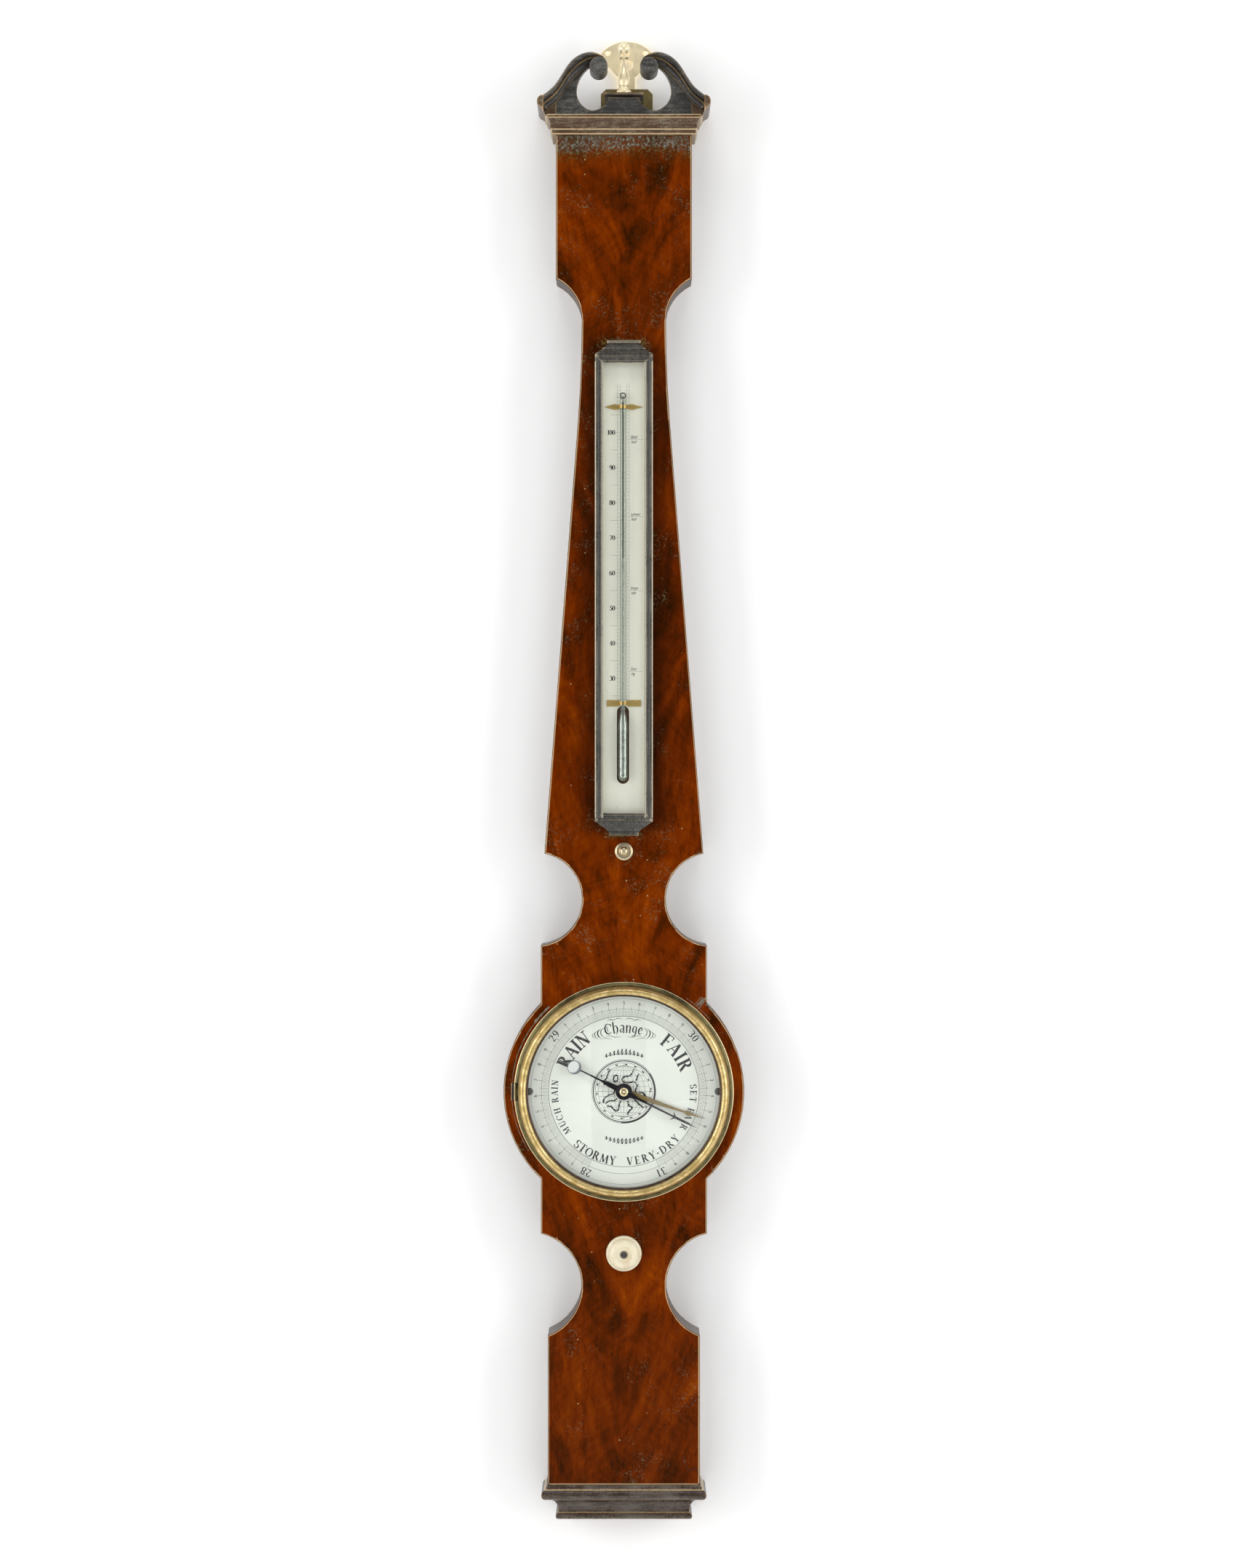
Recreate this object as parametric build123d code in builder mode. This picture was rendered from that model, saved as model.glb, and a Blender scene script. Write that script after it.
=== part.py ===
"""A wall-hung wheel barometer with a thermometer box, as separate pieces.

Lengths are in millimetres. The frame's origin is the middle hole of the hanging plate, on the wall:
+X is to the right as seen from the front, +Z is up, and the front faces -Y.

Most pieces are placed by three local measures:
x across from the case's centre line, z up from the dial's centre, and h out from the wall.
"""
from math import cos, radians, sin, sqrt
import os

from build123d import *

os.makedirs("parts", exist_ok=True)

# ---------------------------------------------------------------- driving dimensions
case_x = -2.0              # the case's centre line, left of the hanging plate's middle
dial_z = -721.0            # the dial's centre, below the hanger screws
carcase_depth = 32.0
veneer_thick = 1.0
front = carcase_depth + veneer_thick

# case outline: half widths and heights from the dial's centre
head_half = 46.7
head_top = 657.5
head_block_top = 671.0
shoulder_r = 31.5
neck_half = 28.9
neck_z = 530.5
flare_start = (31.5, 462.0)
flare_end_half = 54.6
upper_notch_r = 32.0
upper_notch_x = 60.75
upper_notch_z = 132.25
waist_half = 57.0
lobe_r = 82.75
lower_notch_r = 37.0
lower_notch_x = 66.0
lower_notch_z = -133.5
foot_half = 52.2
foot_z = -270.5
base_z = -295.5

# dial, bezel and glass
dial_r = 68.2
dial_back = 30.0
dial_face = 31.6
well_r = 60.0
bezel_r = 75.4
bezel_inner_r = 65.75
glass_r = 67.8
glass_rise = 8.0
glass_thick = 2.0
glass_edge_h = 36.2
hinge_x = -74.3
hinge_h = 34.25
bezel_knuckle_r = 1.2
knuckle_r = 1.3
pin_r = 0.6
running = 0.06             # radial clearance of a running fit

# movement
arbor_r = 1.0
sleeve_r = 2.5
thread_r = 7.05            # 3 inches of mercury are 38.1 mm of float travel and 309.6 degrees
thread_h = 9.5
cord_r = 8.0
cord_h = 22.5
cord_thick = 0.5
reading_angle = -26.4      # indicating hand, anticlockwise from the right
set_angle = -18.5
knob_z = -110.85
catch_z = 165.25

# siphon tube
limb_x = -16.5
tube_r = 4.5
bore_r = 3.1
tube_top = 622.0
bend_z = -225.0
short_top = -100.0
mercury_top = 603.0
mercury_foot = -187.0
float_foot = -181.0
float_long = 18.0

# thermometer box
box_half = 19.8
box_foot = 185.9
box_head = 505.3
box_front = 46.3
rail_wide = 5.8
scale_face = 36.2
stem_x = -0.6
stem_r = 2.05
stem_h = scale_face + stem_r
bulb_r = 3.35
clip_thick = 0.5


# ---------------------------------------------------------------- placing and small shapes
def facing(h, x=0.0, z=0.0):
    """A sketch plane parallel to the wall and h in front of it, seen from the front."""
    return Plane(origin=(case_x + x, -h, dial_z + z), x_dir=(1, 0, 0), z_dir=(0, -1, 0))


def hanger(h):
    """The same, but measured from the hanging plate's middle hole."""
    return Plane(origin=(0, -h, 0), x_dir=(1, 0, 0), z_dir=(0, -1, 0))


def turning(x=0.0, z=0.0):
    """A plane for the section of a piece that is round about an axis out of the wall: radius, h."""
    return Plane(origin=(case_x + x, 0, dial_z + z), x_dir=(1, 0, 0), z_dir=(0, 0, -1))


def out_axis(x=0.0, z=0.0):
    return Axis((case_x + x, 0, dial_z + z), (0, -1, 0))


def up_axis(x, h):
    return Axis((case_x + x, -h, 0), (0, 0, 1))


def level(z):
    """A horizontal sketch plane seen from below: x across and h out from the wall."""
    return Plane(origin=(case_x, 0, dial_z + z), x_dir=(1, 0, 0), z_dir=(0, 0, -1))


def block(x0, x1, z0, z1, h0, h1, mode=Mode.ADD):
    """A block given by its sides."""
    with Locations((case_x + (x0 + x1) / 2, -(h0 + h1) / 2, dial_z + (z0 + z1) / 2)):
        Box(x1 - x0, h1 - h0, z1 - z0, mode=mode)


def rod(x, z, r, h0, h1, mode=Mode.ADD):
    """A round bar standing out from the wall."""
    with Locations((case_x + x, -(h0 + h1) / 2, dial_z + z)):
        Cylinder(r, h1 - h0, rotation=(90, 0, 0), mode=mode)


def post(x, h, r, z0, z1, mode=Mode.ADD):
    """A round bar standing upright."""
    with Locations((case_x + x, -h, dial_z + (z0 + z1) / 2)):
        Cylinder(r, z1 - z0, mode=mode)


def back_screw(x, z, h, length, mode=Mode.ADD, gap=0.0):
    """A countersunk screw driven from the wall side, its head flush at h."""
    head_r, shank_r, head_deep = 2.6, 1.3, 1.4
    with Locations((case_x + x, -(h + head_deep / 2), dial_z + z)):
        Cone(head_r + gap, shank_r + gap, head_deep, rotation=(90, 0, 0), mode=mode)
    rod(x, z, shank_r + gap, h + head_deep, h + length + gap, mode)
    if mode == Mode.ADD:
        block(x - head_r, x + head_r, z - 0.3, z + 0.3, h, h + 0.5, Mode.SUBTRACT)


def save(builder, name):
    builder.part.label = name
    export_step(builder.part, f"parts/{name}.step")


# ---------------------------------------------------------------- the case's outline
def half_outline():
    """The right half of the case's front, from the head down to the foot."""
    shoulder_x = neck_half + shoulder_r
    shoulder_top = neck_z + sqrt(shoulder_r**2 - (shoulder_x - head_half) ** 2)
    shoulder_mid = (shoulder_x - shoulder_r * cos(radians(30)), neck_z + shoulder_r * sin(radians(30)))
    notch_top = upper_notch_z + sqrt(upper_notch_r**2 - (upper_notch_x - flare_end_half) ** 2)
    notch_foot = upper_notch_z - sqrt(upper_notch_r**2 - (upper_notch_x - waist_half) ** 2)
    lobe_z = sqrt(lobe_r**2 - waist_half**2)
    low_top = lower_notch_z + sqrt(lower_notch_r**2 - (lower_notch_x - waist_half) ** 2)
    low_foot = lower_notch_z - sqrt(lower_notch_r**2 - (lower_notch_x - foot_half) ** 2)
    Polyline((0, head_top), (head_half, head_top), (head_half, shoulder_top))
    ThreePointArc((head_half, shoulder_top), shoulder_mid, (neck_half, neck_z))
    TangentArc((neck_half, neck_z), flare_start, tangent=(0, -1))
    Line(flare_start, (flare_end_half, notch_top))
    ThreePointArc(
        (flare_end_half, notch_top),
        (upper_notch_x - upper_notch_r, upper_notch_z),
        (waist_half, notch_foot),
    )
    Line((waist_half, notch_foot), (waist_half, lobe_z))
    ThreePointArc((waist_half, lobe_z), (lobe_r, 0), (waist_half, -lobe_z))
    Line((waist_half, -lobe_z), (waist_half, low_top))
    ThreePointArc(
        (waist_half, low_top),
        (lower_notch_x - lower_notch_r, lower_notch_z),
        (foot_half, low_foot),
    )
    Polyline((foot_half, low_foot), (foot_half, foot_z), (0, foot_z))


def outline_face(h):
    """The whole front outline as a face, h in front of the wall."""
    with BuildSketch(facing(h)) as face:
        with BuildLine():
            half_outline()
            mirror(about=Plane.YZ)
        make_face()
    return face.sketch


cover_half = 25.0
upper_cover = (62.3, 634.5)
lower_cover = (-261.5, -88.3)
upper_screws = [(x, z) for x in (-5, 20) for z in (75, 350, 625)]
lower_screws = [(19, -96), (19, -170), (-12, -256), (12, -256)]
plate_screws = [(2 + x, z) for x in (-14, 14) for z in (644, 653)]
neck_screws = [(2, 642), (2, 655)]
strap_heights = [580.0, 300.0, -190.0]
strap_screws = [(-7, 580), (-7, 300), (18, -190)]
strap_ends = {580.0: -4.0, 300.0: -4.0, -190.0: 22.0}
channel = (-22.7, -10.3)
low_channel = (-21.8, 12.5)
hinge_heights = [38.0, -62.0]
door_axis_x = 42.4
door_axis_h = 1.4
door_long = (-87.6, 61.6)
button_at = (-44.0, -13.0)


# ---------------------------------------------------------------- case
with BuildPart() as case_body:
    extrude(outline_face(0), amount=carcase_depth)
    # head block behind the pediment, with a short post at each end
    block(-head_half, head_half, head_top, head_block_top, 0, 27)
    block(-head_half, -40, head_block_top, 681, 0, 27)
    block(40, head_half, head_block_top, 681, 0, 27)
    # dial well and the rebate that the dial drops into
    rod(0, 0, well_r, 8, 40, Mode.SUBTRACT)
    rod(0, 0, dial_r + 0.4, dial_back - 0.1, 40, Mode.SUBTRACT)
    # way in behind the dial, and the rear door's rebate
    block(-38, 38, -80, 56, 4, 8.1, Mode.SUBTRACT)
    block(-41.3, 44.2, -88, 62, -1, 4.7, Mode.SUBTRACT)
    # channels for the siphon tube and the setting cord, under their covers
    block(*channel, 50, 630, 4, 20, Mode.SUBTRACT)
    block(*low_channel, -250, -50, 4, 26, Mode.SUBTRACT)
    block(-cover_half - 0.2, cover_half + 0.2, 61.9, 634.8, -1, 4.2, Mode.SUBTRACT)
    block(-cover_half - 0.2, cover_half + 0.2, -261.8, -87.9, -1, 4.2, Mode.SUBTRACT)
    # seat for the hanging plate
    block(-16.2, 20.2, 637.5, 700, -1, 3.9, Mode.SUBTRACT)
    # seats for the tube straps
    for z in strap_heights:
        block(-24.7, strap_ends[z] + 0.2, z - 4.1, z + 4.1, 4, 5, Mode.SUBTRACT)
    # setting knob's bush, catch spindle, the catch's pocket and the two mortises of the box
    rod(0, knob_z, 4.5, 20, 40, Mode.SUBTRACT)
    rod(0, catch_z, 1.5 + running, 10, 40, Mode.SUBTRACT)
    block(-4, 20.5, 161, 188, 4, 28, Mode.SUBTRACT)
    block(-5, 5, 180, 188, 4, 40, Mode.SUBTRACT)
    block(-5, 5, 496, 504, 12, 40, Mode.SUBTRACT)
    # hinge leaves of the rear door
    for z in hinge_heights:
        block(door_axis_x, 52.2, z - 6.3, z + 6.3, -1, 0.8, Mode.SUBTRACT)
    # the door's button and the dial screws
    rod(*button_at, 9, -1, 1.6, Mode.SUBTRACT)
    rod(*button_at, 1.32, 0, 9.5, Mode.SUBTRACT)
    for side in (-1, 1):
        rod(side * 64.9, 0, 1.25, 20, 31, Mode.SUBTRACT)
    # screws of the covers, straps and hanging plate
    for x, z in upper_screws + lower_screws:
        back_screw(x, z, 0, 12, Mode.SUBTRACT, 0.02)
    for x, z in plate_screws:
        back_screw(x, z, 2, 12, Mode.SUBTRACT, 0.02)
    for x, z in neck_screws:
        back_screw(x, z, 0, 14, Mode.SUBTRACT, 0.02)
    for x, z in strap_screws:
        back_screw(x, z, 4.2, 10, Mode.SUBTRACT, 0.02)
save(case_body, "case_body")

with BuildPart() as front_veneer:
    extrude(outline_face(carcase_depth), amount=veneer_thick)
    chamfer(front_veneer.faces().sort_by(Axis.Y)[0].outer_wire().edges(), 0.35)
    with BuildSketch(facing(carcase_depth)):
        Circle(dial_r + 0.4)
        with Locations((0, knob_z)):
            Circle(4.5)
        with Locations((0, catch_z)):
            Circle(1.5 + running)
        with Locations((0, 184), (0, 500)):
            Rectangle(10, 8)
        with Locations((-72.95, 0)):
            Rectangle(8.1, 11.8)
    extrude(amount=veneer_thick + 1, mode=Mode.SUBTRACT)
save(front_veneer, "front_veneer")


# ---------------------------------------------------------------- back of the case
with BuildPart() as upper_tube_cover:
    block(-cover_half, cover_half, *upper_cover, 0, 4)
    for x, z in upper_screws:
        back_screw(x, z, 0, 12, Mode.SUBTRACT, 0.02)
save(upper_tube_cover, "upper_tube_cover")

with BuildPart() as lower_tube_cover:
    block(-cover_half, cover_half, *lower_cover, 0, 4)
    for x, z in lower_screws:
        back_screw(x, z, 0, 12, Mode.SUBTRACT, 0.02)
save(lower_tube_cover, "lower_tube_cover")

with BuildPart() as case_screws:
    for x, z in upper_screws + lower_screws:
        back_screw(x, z, 0, 11.5)
    for x, z in plate_screws:
        back_screw(x, z, 2, 11.5)
    for x, z in neck_screws:
        back_screw(x, z, 0, 13.5)
    for x, z in strap_screws:
        back_screw(x, z, 4.2, 9.5)
    rod(*button_at, 1.3, 0.05, 9)
    rod(*button_at, 2.2, 0, 0.18)
    block(button_at[0] - 3, button_at[0] + 3, button_at[1] - 0.3, button_at[1] + 0.3, -0.5, 0.09, Mode.SUBTRACT)
save(case_screws, "case_screws")

leaf_thick = 0.8

with BuildPart() as rear_door:
    block(-41, 41, *door_long, 0, 4.5)
    rod(*button_at, 9, -1, 1.6, Mode.SUBTRACT)
    for z in hinge_heights:
        block(31.8, 42, z - 6.3, z + 6.3, -1, leaf_thick, Mode.SUBTRACT)
save(rear_door, "rear_door")

with BuildPart() as door_hinge_leaves:
    for z in hinge_heights:
        block(32, 40.9, z - 6, z + 6, 0, leaf_thick)
        for z0, z1 in ((-6, -3.2), (3.2, 6)):
            block(40.9, door_axis_x, z + z0, z + z1, 0, leaf_thick)
            post(door_axis_x, door_axis_h, knuckle_r, z + z0, z + z1)
            post(door_axis_x, door_axis_h, pin_r + running, z + z0 - 1, z + z1 + 1, Mode.SUBTRACT)
save(door_hinge_leaves, "door_hinge_leaves")

with BuildPart() as case_hinge_leaves:
    for z in hinge_heights:
        block(44.3, 52, z - 6, z + 6, 0, leaf_thick)
        block(door_axis_x, 44.3, z - 3, z + 3, 0, leaf_thick)
        post(door_axis_x, door_axis_h, knuckle_r, z - 3, z + 3)
        post(door_axis_x, door_axis_h, pin_r, z - 6.1, z + 6.1)
save(case_hinge_leaves, "case_hinge_leaves")

with BuildPart() as door_button:
    with BuildSketch(facing(0.2, *button_at)):
        SlotOverall(15, 5, rotation=90)
    extrude(amount=1.2)
    rod(*button_at, 1.3 + running, -1, 3, Mode.SUBTRACT)
save(door_button, "door_button")

# ---------------------------------------------------------------- mouldings
def mitred_moulding(section, half, top_h):
    """Front and side lengths of one moulding, mitred at the corners of a case half wide.

    The section is a closed sketch of x = projection from the case and y = height."""
    path_x = case_x + half
    with BuildPart() as run:
        with BuildLine():
            Polyline((path_x, 0, dial_z), (path_x, -top_h, dial_z), (2 * case_x - path_x, -top_h, dial_z),
                     (2 * case_x - path_x, 0, dial_z))
        add(section)
        sweep(transition=Transition.RIGHT)
    right_cut = Plane(origin=(path_x, -top_h, dial_z), x_dir=(0, 0, 1), z_dir=(1, 1, 0))
    left_cut = Plane(origin=(2 * case_x - path_x, -top_h, dial_z), x_dir=(0, 0, 1), z_dir=(-1, 1, 0))
    whole = run.part
    right = split(whole, bisect_by=right_cut, keep=Keep.TOP)
    rest = split(whole, bisect_by=right_cut, keep=Keep.BOTTOM)
    left = split(rest, bisect_by=left_cut, keep=Keep.TOP)
    middle = split(rest, bisect_by=left_cut, keep=Keep.BOTTOM)
    return [middle, left, right]


def section_plane(half):
    """The plane at the right side's wall end in which a moulding's section is drawn."""
    return Plane(origin=(case_x + half, 0, dial_z), x_dir=(1, 0, 0), z_dir=(0, -1, 0))


with BuildSketch(section_plane(head_half)) as cornice_section:
    with BuildLine():
        Polyline((0, 657.7), (2.8, 657.7), (2.8, 660.9), (3.9, 661.5), (3.9, 662.8))
        ThreePointArc((3.9, 662.8), (3.9, 665.6), (5.2, 668.2))
        Polyline((5.2, 668.2), (6.2, 668.6), (6.2, 670.8), (0, 670.8), (0, 657.7))
    make_face()
cornice_lengths = mitred_moulding(cornice_section.sketch, head_half, front)

with BuildSketch(section_plane(foot_half)) as base_section:
    with BuildLine():
        Polyline((-12, foot_z), (0.8, foot_z), (1.6, -273.2))
        ThreePointArc((1.6, -273.2), (4.5, -276.8), (1.8, -280.4))
        ThreePointArc((1.8, -280.4), (-4.9, -283.2), (-6.8, -290.4))
        Line((-6.8, -290.4), (-7.4, -291.0))
        ThreePointArc((-7.4, -291.0), (-5.2, -293.25), (-7.4, base_z))
        Polyline((-7.4, base_z), (-12, base_z), (-12, foot_z))
    make_face()
base_lengths = mitred_moulding(base_section.sketch, foot_half, front)

# the upper member of the side cornice, which the swan neck runs into
return_front = 44.0
mitre_x = 55.2


def return_section(side):
    with BuildSketch(facing(0)) as face:
        with BuildLine():
            Polyline((side * 46.7, 670), (side * 52.9, 670), (side * 54.2, 671), (side * 55, 673.6),
                     (side * 56.8, 674.8))
            ThreePointArc((side * 56.8, 674.8), (side * 59.5, 679), (side * 56.6, 683))
            Polyline((side * 56.6, 683), (side * 46.7, 683), (side * 46.7, 670))
        make_face()
    return face.sketch


with BuildPart() as cornice:
    for side, length in ((-1, cornice_lengths[1]), (1, cornice_lengths[2])):
        add(length)
        extrude(return_section(side), amount=return_front)
    block(-mitre_x, mitre_x, 660, 690, front, 60, Mode.SUBTRACT)
    block(-60, 60, 660, 673, front, 60, Mode.SUBTRACT)
    for length in cornice_lengths:
        add(length)
save(cornice, "cornice")

with BuildPart() as base_moulding:
    for length in base_lengths:
        add(length)
save(base_moulding, "base_moulding")

with BuildPart() as base_board:
    block(-foot_half + 12, foot_half - 12, base_z, foot_z, 0, front - 12)
save(base_board, "base_board")


# ---------------------------------------------------------------- pediment
board_back = 27.0
boss_x = 17.3
boss_z = 702.9
boss_r = 6.2
boss_front = 45.0

with BuildPart() as pediment_board:
    with BuildSketch(facing(board_back)):
        with BuildLine():
            Polyline((0, head_top), (head_half, head_top), (head_half, 684))
            ThreePointArc((head_half, 684), (41.5, 692.5), (37.2, 700.5))
            ThreePointArc((37.2, 700.5), (32, 706), (25.5, 708.5))
            Polyline((25.5, 708.5), (21.5, 707.6), (22.6, 705.4))
            ThreePointArc((22.6, 705.4), (29.9, 697.6), (32.5, 687))
            ThreePointArc((32.5, 687), (29.6, 679.3), (22.2, 674.5))
            ThreePointArc((22.2, 674.5), (15.3, 676.6), (10.3, 683.75))
            Line((10.3, 683.75), (0, 683.75))
            mirror(about=Plane.YZ)
        make_face()
    extrude(amount=front - board_back)
    for side in (-1, 1):
        rod(side * boss_x, boss_z, boss_r, 20, 60, Mode.SUBTRACT)
save(pediment_board, "pediment_board")


def swan_neck_faces(side):
    """The roll along the top of a swan neck, and the cove below it."""
    with BuildSketch(facing(front)) as roll:
        with BuildLine():
            ThreePointArc((side * 55.2, 682.2), (side * 48.2, 688.3), (side * 43.2, 696))
            ThreePointArc((side * 43.2, 696), (side * 35.3, 707.4), (side * 22.4, 712.1))
            ThreePointArc((side * 22.4, 712.1), (side * 15.4, 709.6), (side * 11.7, 704.8))
            Polyline((side * 11.7, 704.8), (side * boss_x, boss_z), (side * 23.6, 707.6))
            ThreePointArc((side * 23.6, 707.6), (side * 33.2, 703.2), (side * 38.8, 695.9))
            ThreePointArc((side * 38.8, 695.9), (side * 45.2, 685.4), (side * 55.2, 677.6))
            Line((side * 55.2, 677.6), (side * 55.2, 682.2))
        make_face()
    with BuildSketch(facing(front)) as cove:
        with BuildLine():
            ThreePointArc((side * 55.2, 678.2), (side * 45.2, 686), (side * 38.8, 696.4))
            ThreePointArc((side * 38.8, 696.4), (side * 33.2, 703.8), (side * 23.6, 708.2))
            Polyline((side * 23.6, 708.2), (side * 22, 702.6), (side * 25.9, 702.6))
            ThreePointArc((side * 25.9, 702.6), (side * 34.2, 695.3), (side * 40.9, 686.7))
            ThreePointArc((side * 40.9, 686.7), (side * 45.6, 680.2), (side * 52, 675.6))
            Polyline((side * 52, 675.6), (side * 55.2, 674.4), (side * 55.2, 678.2))
        make_face()
    return roll.sketch, cove.sketch


with BuildPart() as swan_necks:
    for side in (-1, 1):
        roll_face, cove_face = swan_neck_faces(side)
        extrude(roll_face, amount=return_front - front)
        extrude(cove_face, amount=6)
        block(min(0, side * 46.7), max(0, side * 46.7), 660, 670, 0, 60, Mode.SUBTRACT)
        rod(side * boss_x, boss_z, boss_r, 20, 60, Mode.SUBTRACT)
save(swan_necks, "swan_necks")

with BuildPart() as scroll_bosses:
    for side in (-1, 1):
        rod(side * boss_x, boss_z, boss_r, board_back, boss_front)
    fillet(scroll_bosses.edges().filter_by(GeomType.CIRCLE).group_by(Axis.Y)[0], 0.7)
save(scroll_bosses, "scroll_bosses")

plinth_top = 686.5
finial_h = 25.0
ball_z = 718.6
ball_r = 4.15

with BuildPart() as finial_plinth:
    block(-9.4, 9.4, head_block_top, 681, 14, board_back)
    block(-13.4, 13.4, 681, 685, 14, board_back)
    block(-13.4, 13.4, 685, plinth_top, 14, 36)
save(finial_plinth, "finial_plinth")

with BuildPart() as finial:
    with BuildSketch(facing(finial_h)):
        with BuildLine():
            Polyline((0, plinth_top), (4.9, plinth_top), (5, 687.2), (5, 689.0), (4.6, 689.9), (3.2, 690.4))
            ThreePointArc((3.2, 690.4), (2.7, 691.7), (3.2, 693))
            ThreePointArc((3.2, 693), (4.1, 697.6), (2.9, 703))
            ThreePointArc((2.9, 703), (1.7, 707.6), (1.8, 711.2))
            Polyline((1.8, 711.2), (3.4, 711.8), (3.95, 712.5), (3.4, 713.3), (1.9, 713.9))
            Line((1.9, 713.9), (1.9, ball_z - sqrt(ball_r**2 - 1.9**2)))
            ThreePointArc((1.9, ball_z - sqrt(ball_r**2 - 1.9**2)), (ball_r, ball_z), (0, ball_z + ball_r))
            Line((0, ball_z + ball_r), (0, plinth_top))
        make_face()
    revolve(axis=up_axis(0, finial_h))
save(finial, "finial")


# ---------------------------------------------------------------- hanging plate
plate_thick = 2.0
hanger_pitch = 13.2
hanger_hole_r = 1.7

with BuildPart() as hanging_plate:
    with BuildSketch(hanger(0)):
        with BuildLine():
            ThreePointArc((0, 8.1), (10.4, 5.9), (18.25, -0.4))
            ThreePointArc((18.25, -0.4), (16.6, -5.6), (12.6, -9.9))
            Polyline((12.6, -9.9), (5.95, -16.7), (5.95, -82.5), (0, -82.5))
            mirror(about=Plane.YZ)
        make_face()
        with BuildLine(mode=Mode.PRIVATE) as keyhole:
            ThreePointArc((0, -4.6), (4.6, -8.2), (0, -12.2))
            ThreePointArc((0, -12.2), (-4.6, -8.2), (0, -4.6))
        make_face(keyhole.line, mode=Mode.SUBTRACT)
    extrude(amount=plate_thick)
    chamfer(hanging_plate.faces().sort_by(Axis.Y)[0].outer_wire().edges(), 0.6)
    with Locations(hanger(plate_thick)):
        with Locations((-hanger_pitch, 0), (0, 0), (hanger_pitch, 0)):
            CounterSinkHole(hanger_hole_r, 2.4)
    for x, z in neck_screws:
        back_screw(x, z, 0, 14, Mode.SUBTRACT, 0.02)
save(hanging_plate, "hanging_plate")

with BuildPart() as hanger_base_plate:
    with BuildSketch(hanger(plate_thick)):
        with BuildLine():
            Polyline((0, -25.6), (14.5, -25.6), (18, -29.1), (18, -82.5), (0, -82.5))
            mirror(about=Plane.YZ)
        make_face()
    extrude(amount=1.8)
    for x, z in plate_screws:
        back_screw(x, z, 2, 12, Mode.SUBTRACT, 0.02)
    for x, z in neck_screws:
        back_screw(x, z, 0, 14, Mode.SUBTRACT, 0.02)
save(hanger_base_plate, "hanger_base_plate")


# ---------------------------------------------------------------- bezel and glass
glass_sphere = (glass_r**2 + glass_rise**2) / (2 * glass_rise)
glass_top_h = glass_edge_h + glass_rise
glass_centre_h = glass_top_h - glass_sphere


def glass_h(r, sphere):
    """How far out a sphere about the glass's centre stands at radius r."""
    return glass_centre_h + sqrt(sphere**2 - r**2)


with BuildPart() as bezel:
    with BuildSketch(turning()):
        with BuildLine():
            Polyline((glass_r + 0.1, front), (bezel_r, front), (bezel_r, 34.4), (74.5, 34.8))
            ThreePointArc((74.5, 34.8), (72.6, 36.4), (71.7, 39.4))
            Line((71.7, 39.4), (71.3, 39.8))
            ThreePointArc((71.3, 39.8), (69.2, 42.6), (67.1, 40.2))
            ThreePointArc((67.1, 40.2), (66.8, 38.6), (bezel_inner_r, 37.7))
            Polyline((bezel_inner_r, 37.7), (bezel_inner_r, 36.8), (glass_r + 0.1, 36.8),
                     (glass_r + 0.1, front))
        make_face()
    revolve(axis=out_axis())
    block(-78, -72.9, -6.1, 6.1, 30, 38, Mode.SUBTRACT)
    block(-78, -74, -14, 14, 30, front + 0.4, Mode.SUBTRACT)
    block(hinge_x, -72.5, -2.3, 2.3, front + 0.4, hinge_h + 0.7)
    post(hinge_x, hinge_h, bezel_knuckle_r, -2.3, 2.3)
    post(hinge_x, hinge_h, pin_r + running, -3, 3, Mode.SUBTRACT)
save(bezel, "bezel")

with BuildPart() as bezel_hinge_leaf:
    block(-75.2, -69, -5.7, 5.7, front - 0.8, front)
    for z0, z1 in ((-5.7, -2.5), (2.5, 5.7)):
        block(hinge_x - 0.7, hinge_x + 0.7, z0, z1, front, hinge_h)
        post(hinge_x, hinge_h, bezel_knuckle_r, z0, z1)
    post(hinge_x, hinge_h, pin_r, -5.7, 5.7)
save(bezel_hinge_leaf, "bezel_hinge_leaf")

with BuildPart() as dial_glass:
    inner_sphere = glass_sphere - glass_thick
    with BuildSketch(turning()):
        with BuildLine():
            Line((0, glass_top_h - glass_thick), (0, glass_top_h))
            ThreePointArc((0, glass_top_h), (34, glass_h(34, glass_sphere)), (glass_r, glass_edge_h))
            Line((glass_r, glass_edge_h), (glass_r, glass_h(glass_r, inner_sphere)))
            ThreePointArc(
                (glass_r, glass_h(glass_r, inner_sphere)),
                (34, glass_h(34, inner_sphere)),
                (0, glass_top_h - glass_thick),
            )
        make_face()
    revolve(axis=out_axis())
save(dial_glass, "dial_glass")

with BuildPart() as glass_ring:
    rod(0, 0, glass_r, front + 0.1, front + 1.1)
    rod(0, 0, bezel_inner_r + 0.2, front, front + 2, Mode.SUBTRACT)
save(glass_ring, "glass_ring")


# ---------------------------------------------------------------- dial and hands
with BuildPart() as dial_plate:
    rod(0, 0, dial_r, dial_back, dial_face)
    rod(0, 0, 5.2, 26, dial_back)
    rod(0, 0, sleeve_r + running, 20, 40, Mode.SUBTRACT)
    for side in (-1, 1):
        rod(side * 64.9, 0, 1.3, 20, 40, Mode.SUBTRACT)
save(dial_plate, "dial_plate")

with BuildPart() as dial_screws:
    for side in (-1, 1):
        rod(side * 64.9, 0, 2.5, dial_face, dial_face + 0.9)
        rod(side * 64.9, 0, 1.2, 23, dial_face)
        with Locations((case_x + side * 64.9, -(dial_face + 0.9), dial_z)):
            Box(5.2, 0.8, 0.6, rotation=(0, 62, 0), mode=Mode.SUBTRACT)
save(dial_screws, "dial_screws")


hand_h = 34.2
hand_thick = 0.7
hub_r = 5.55

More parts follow.
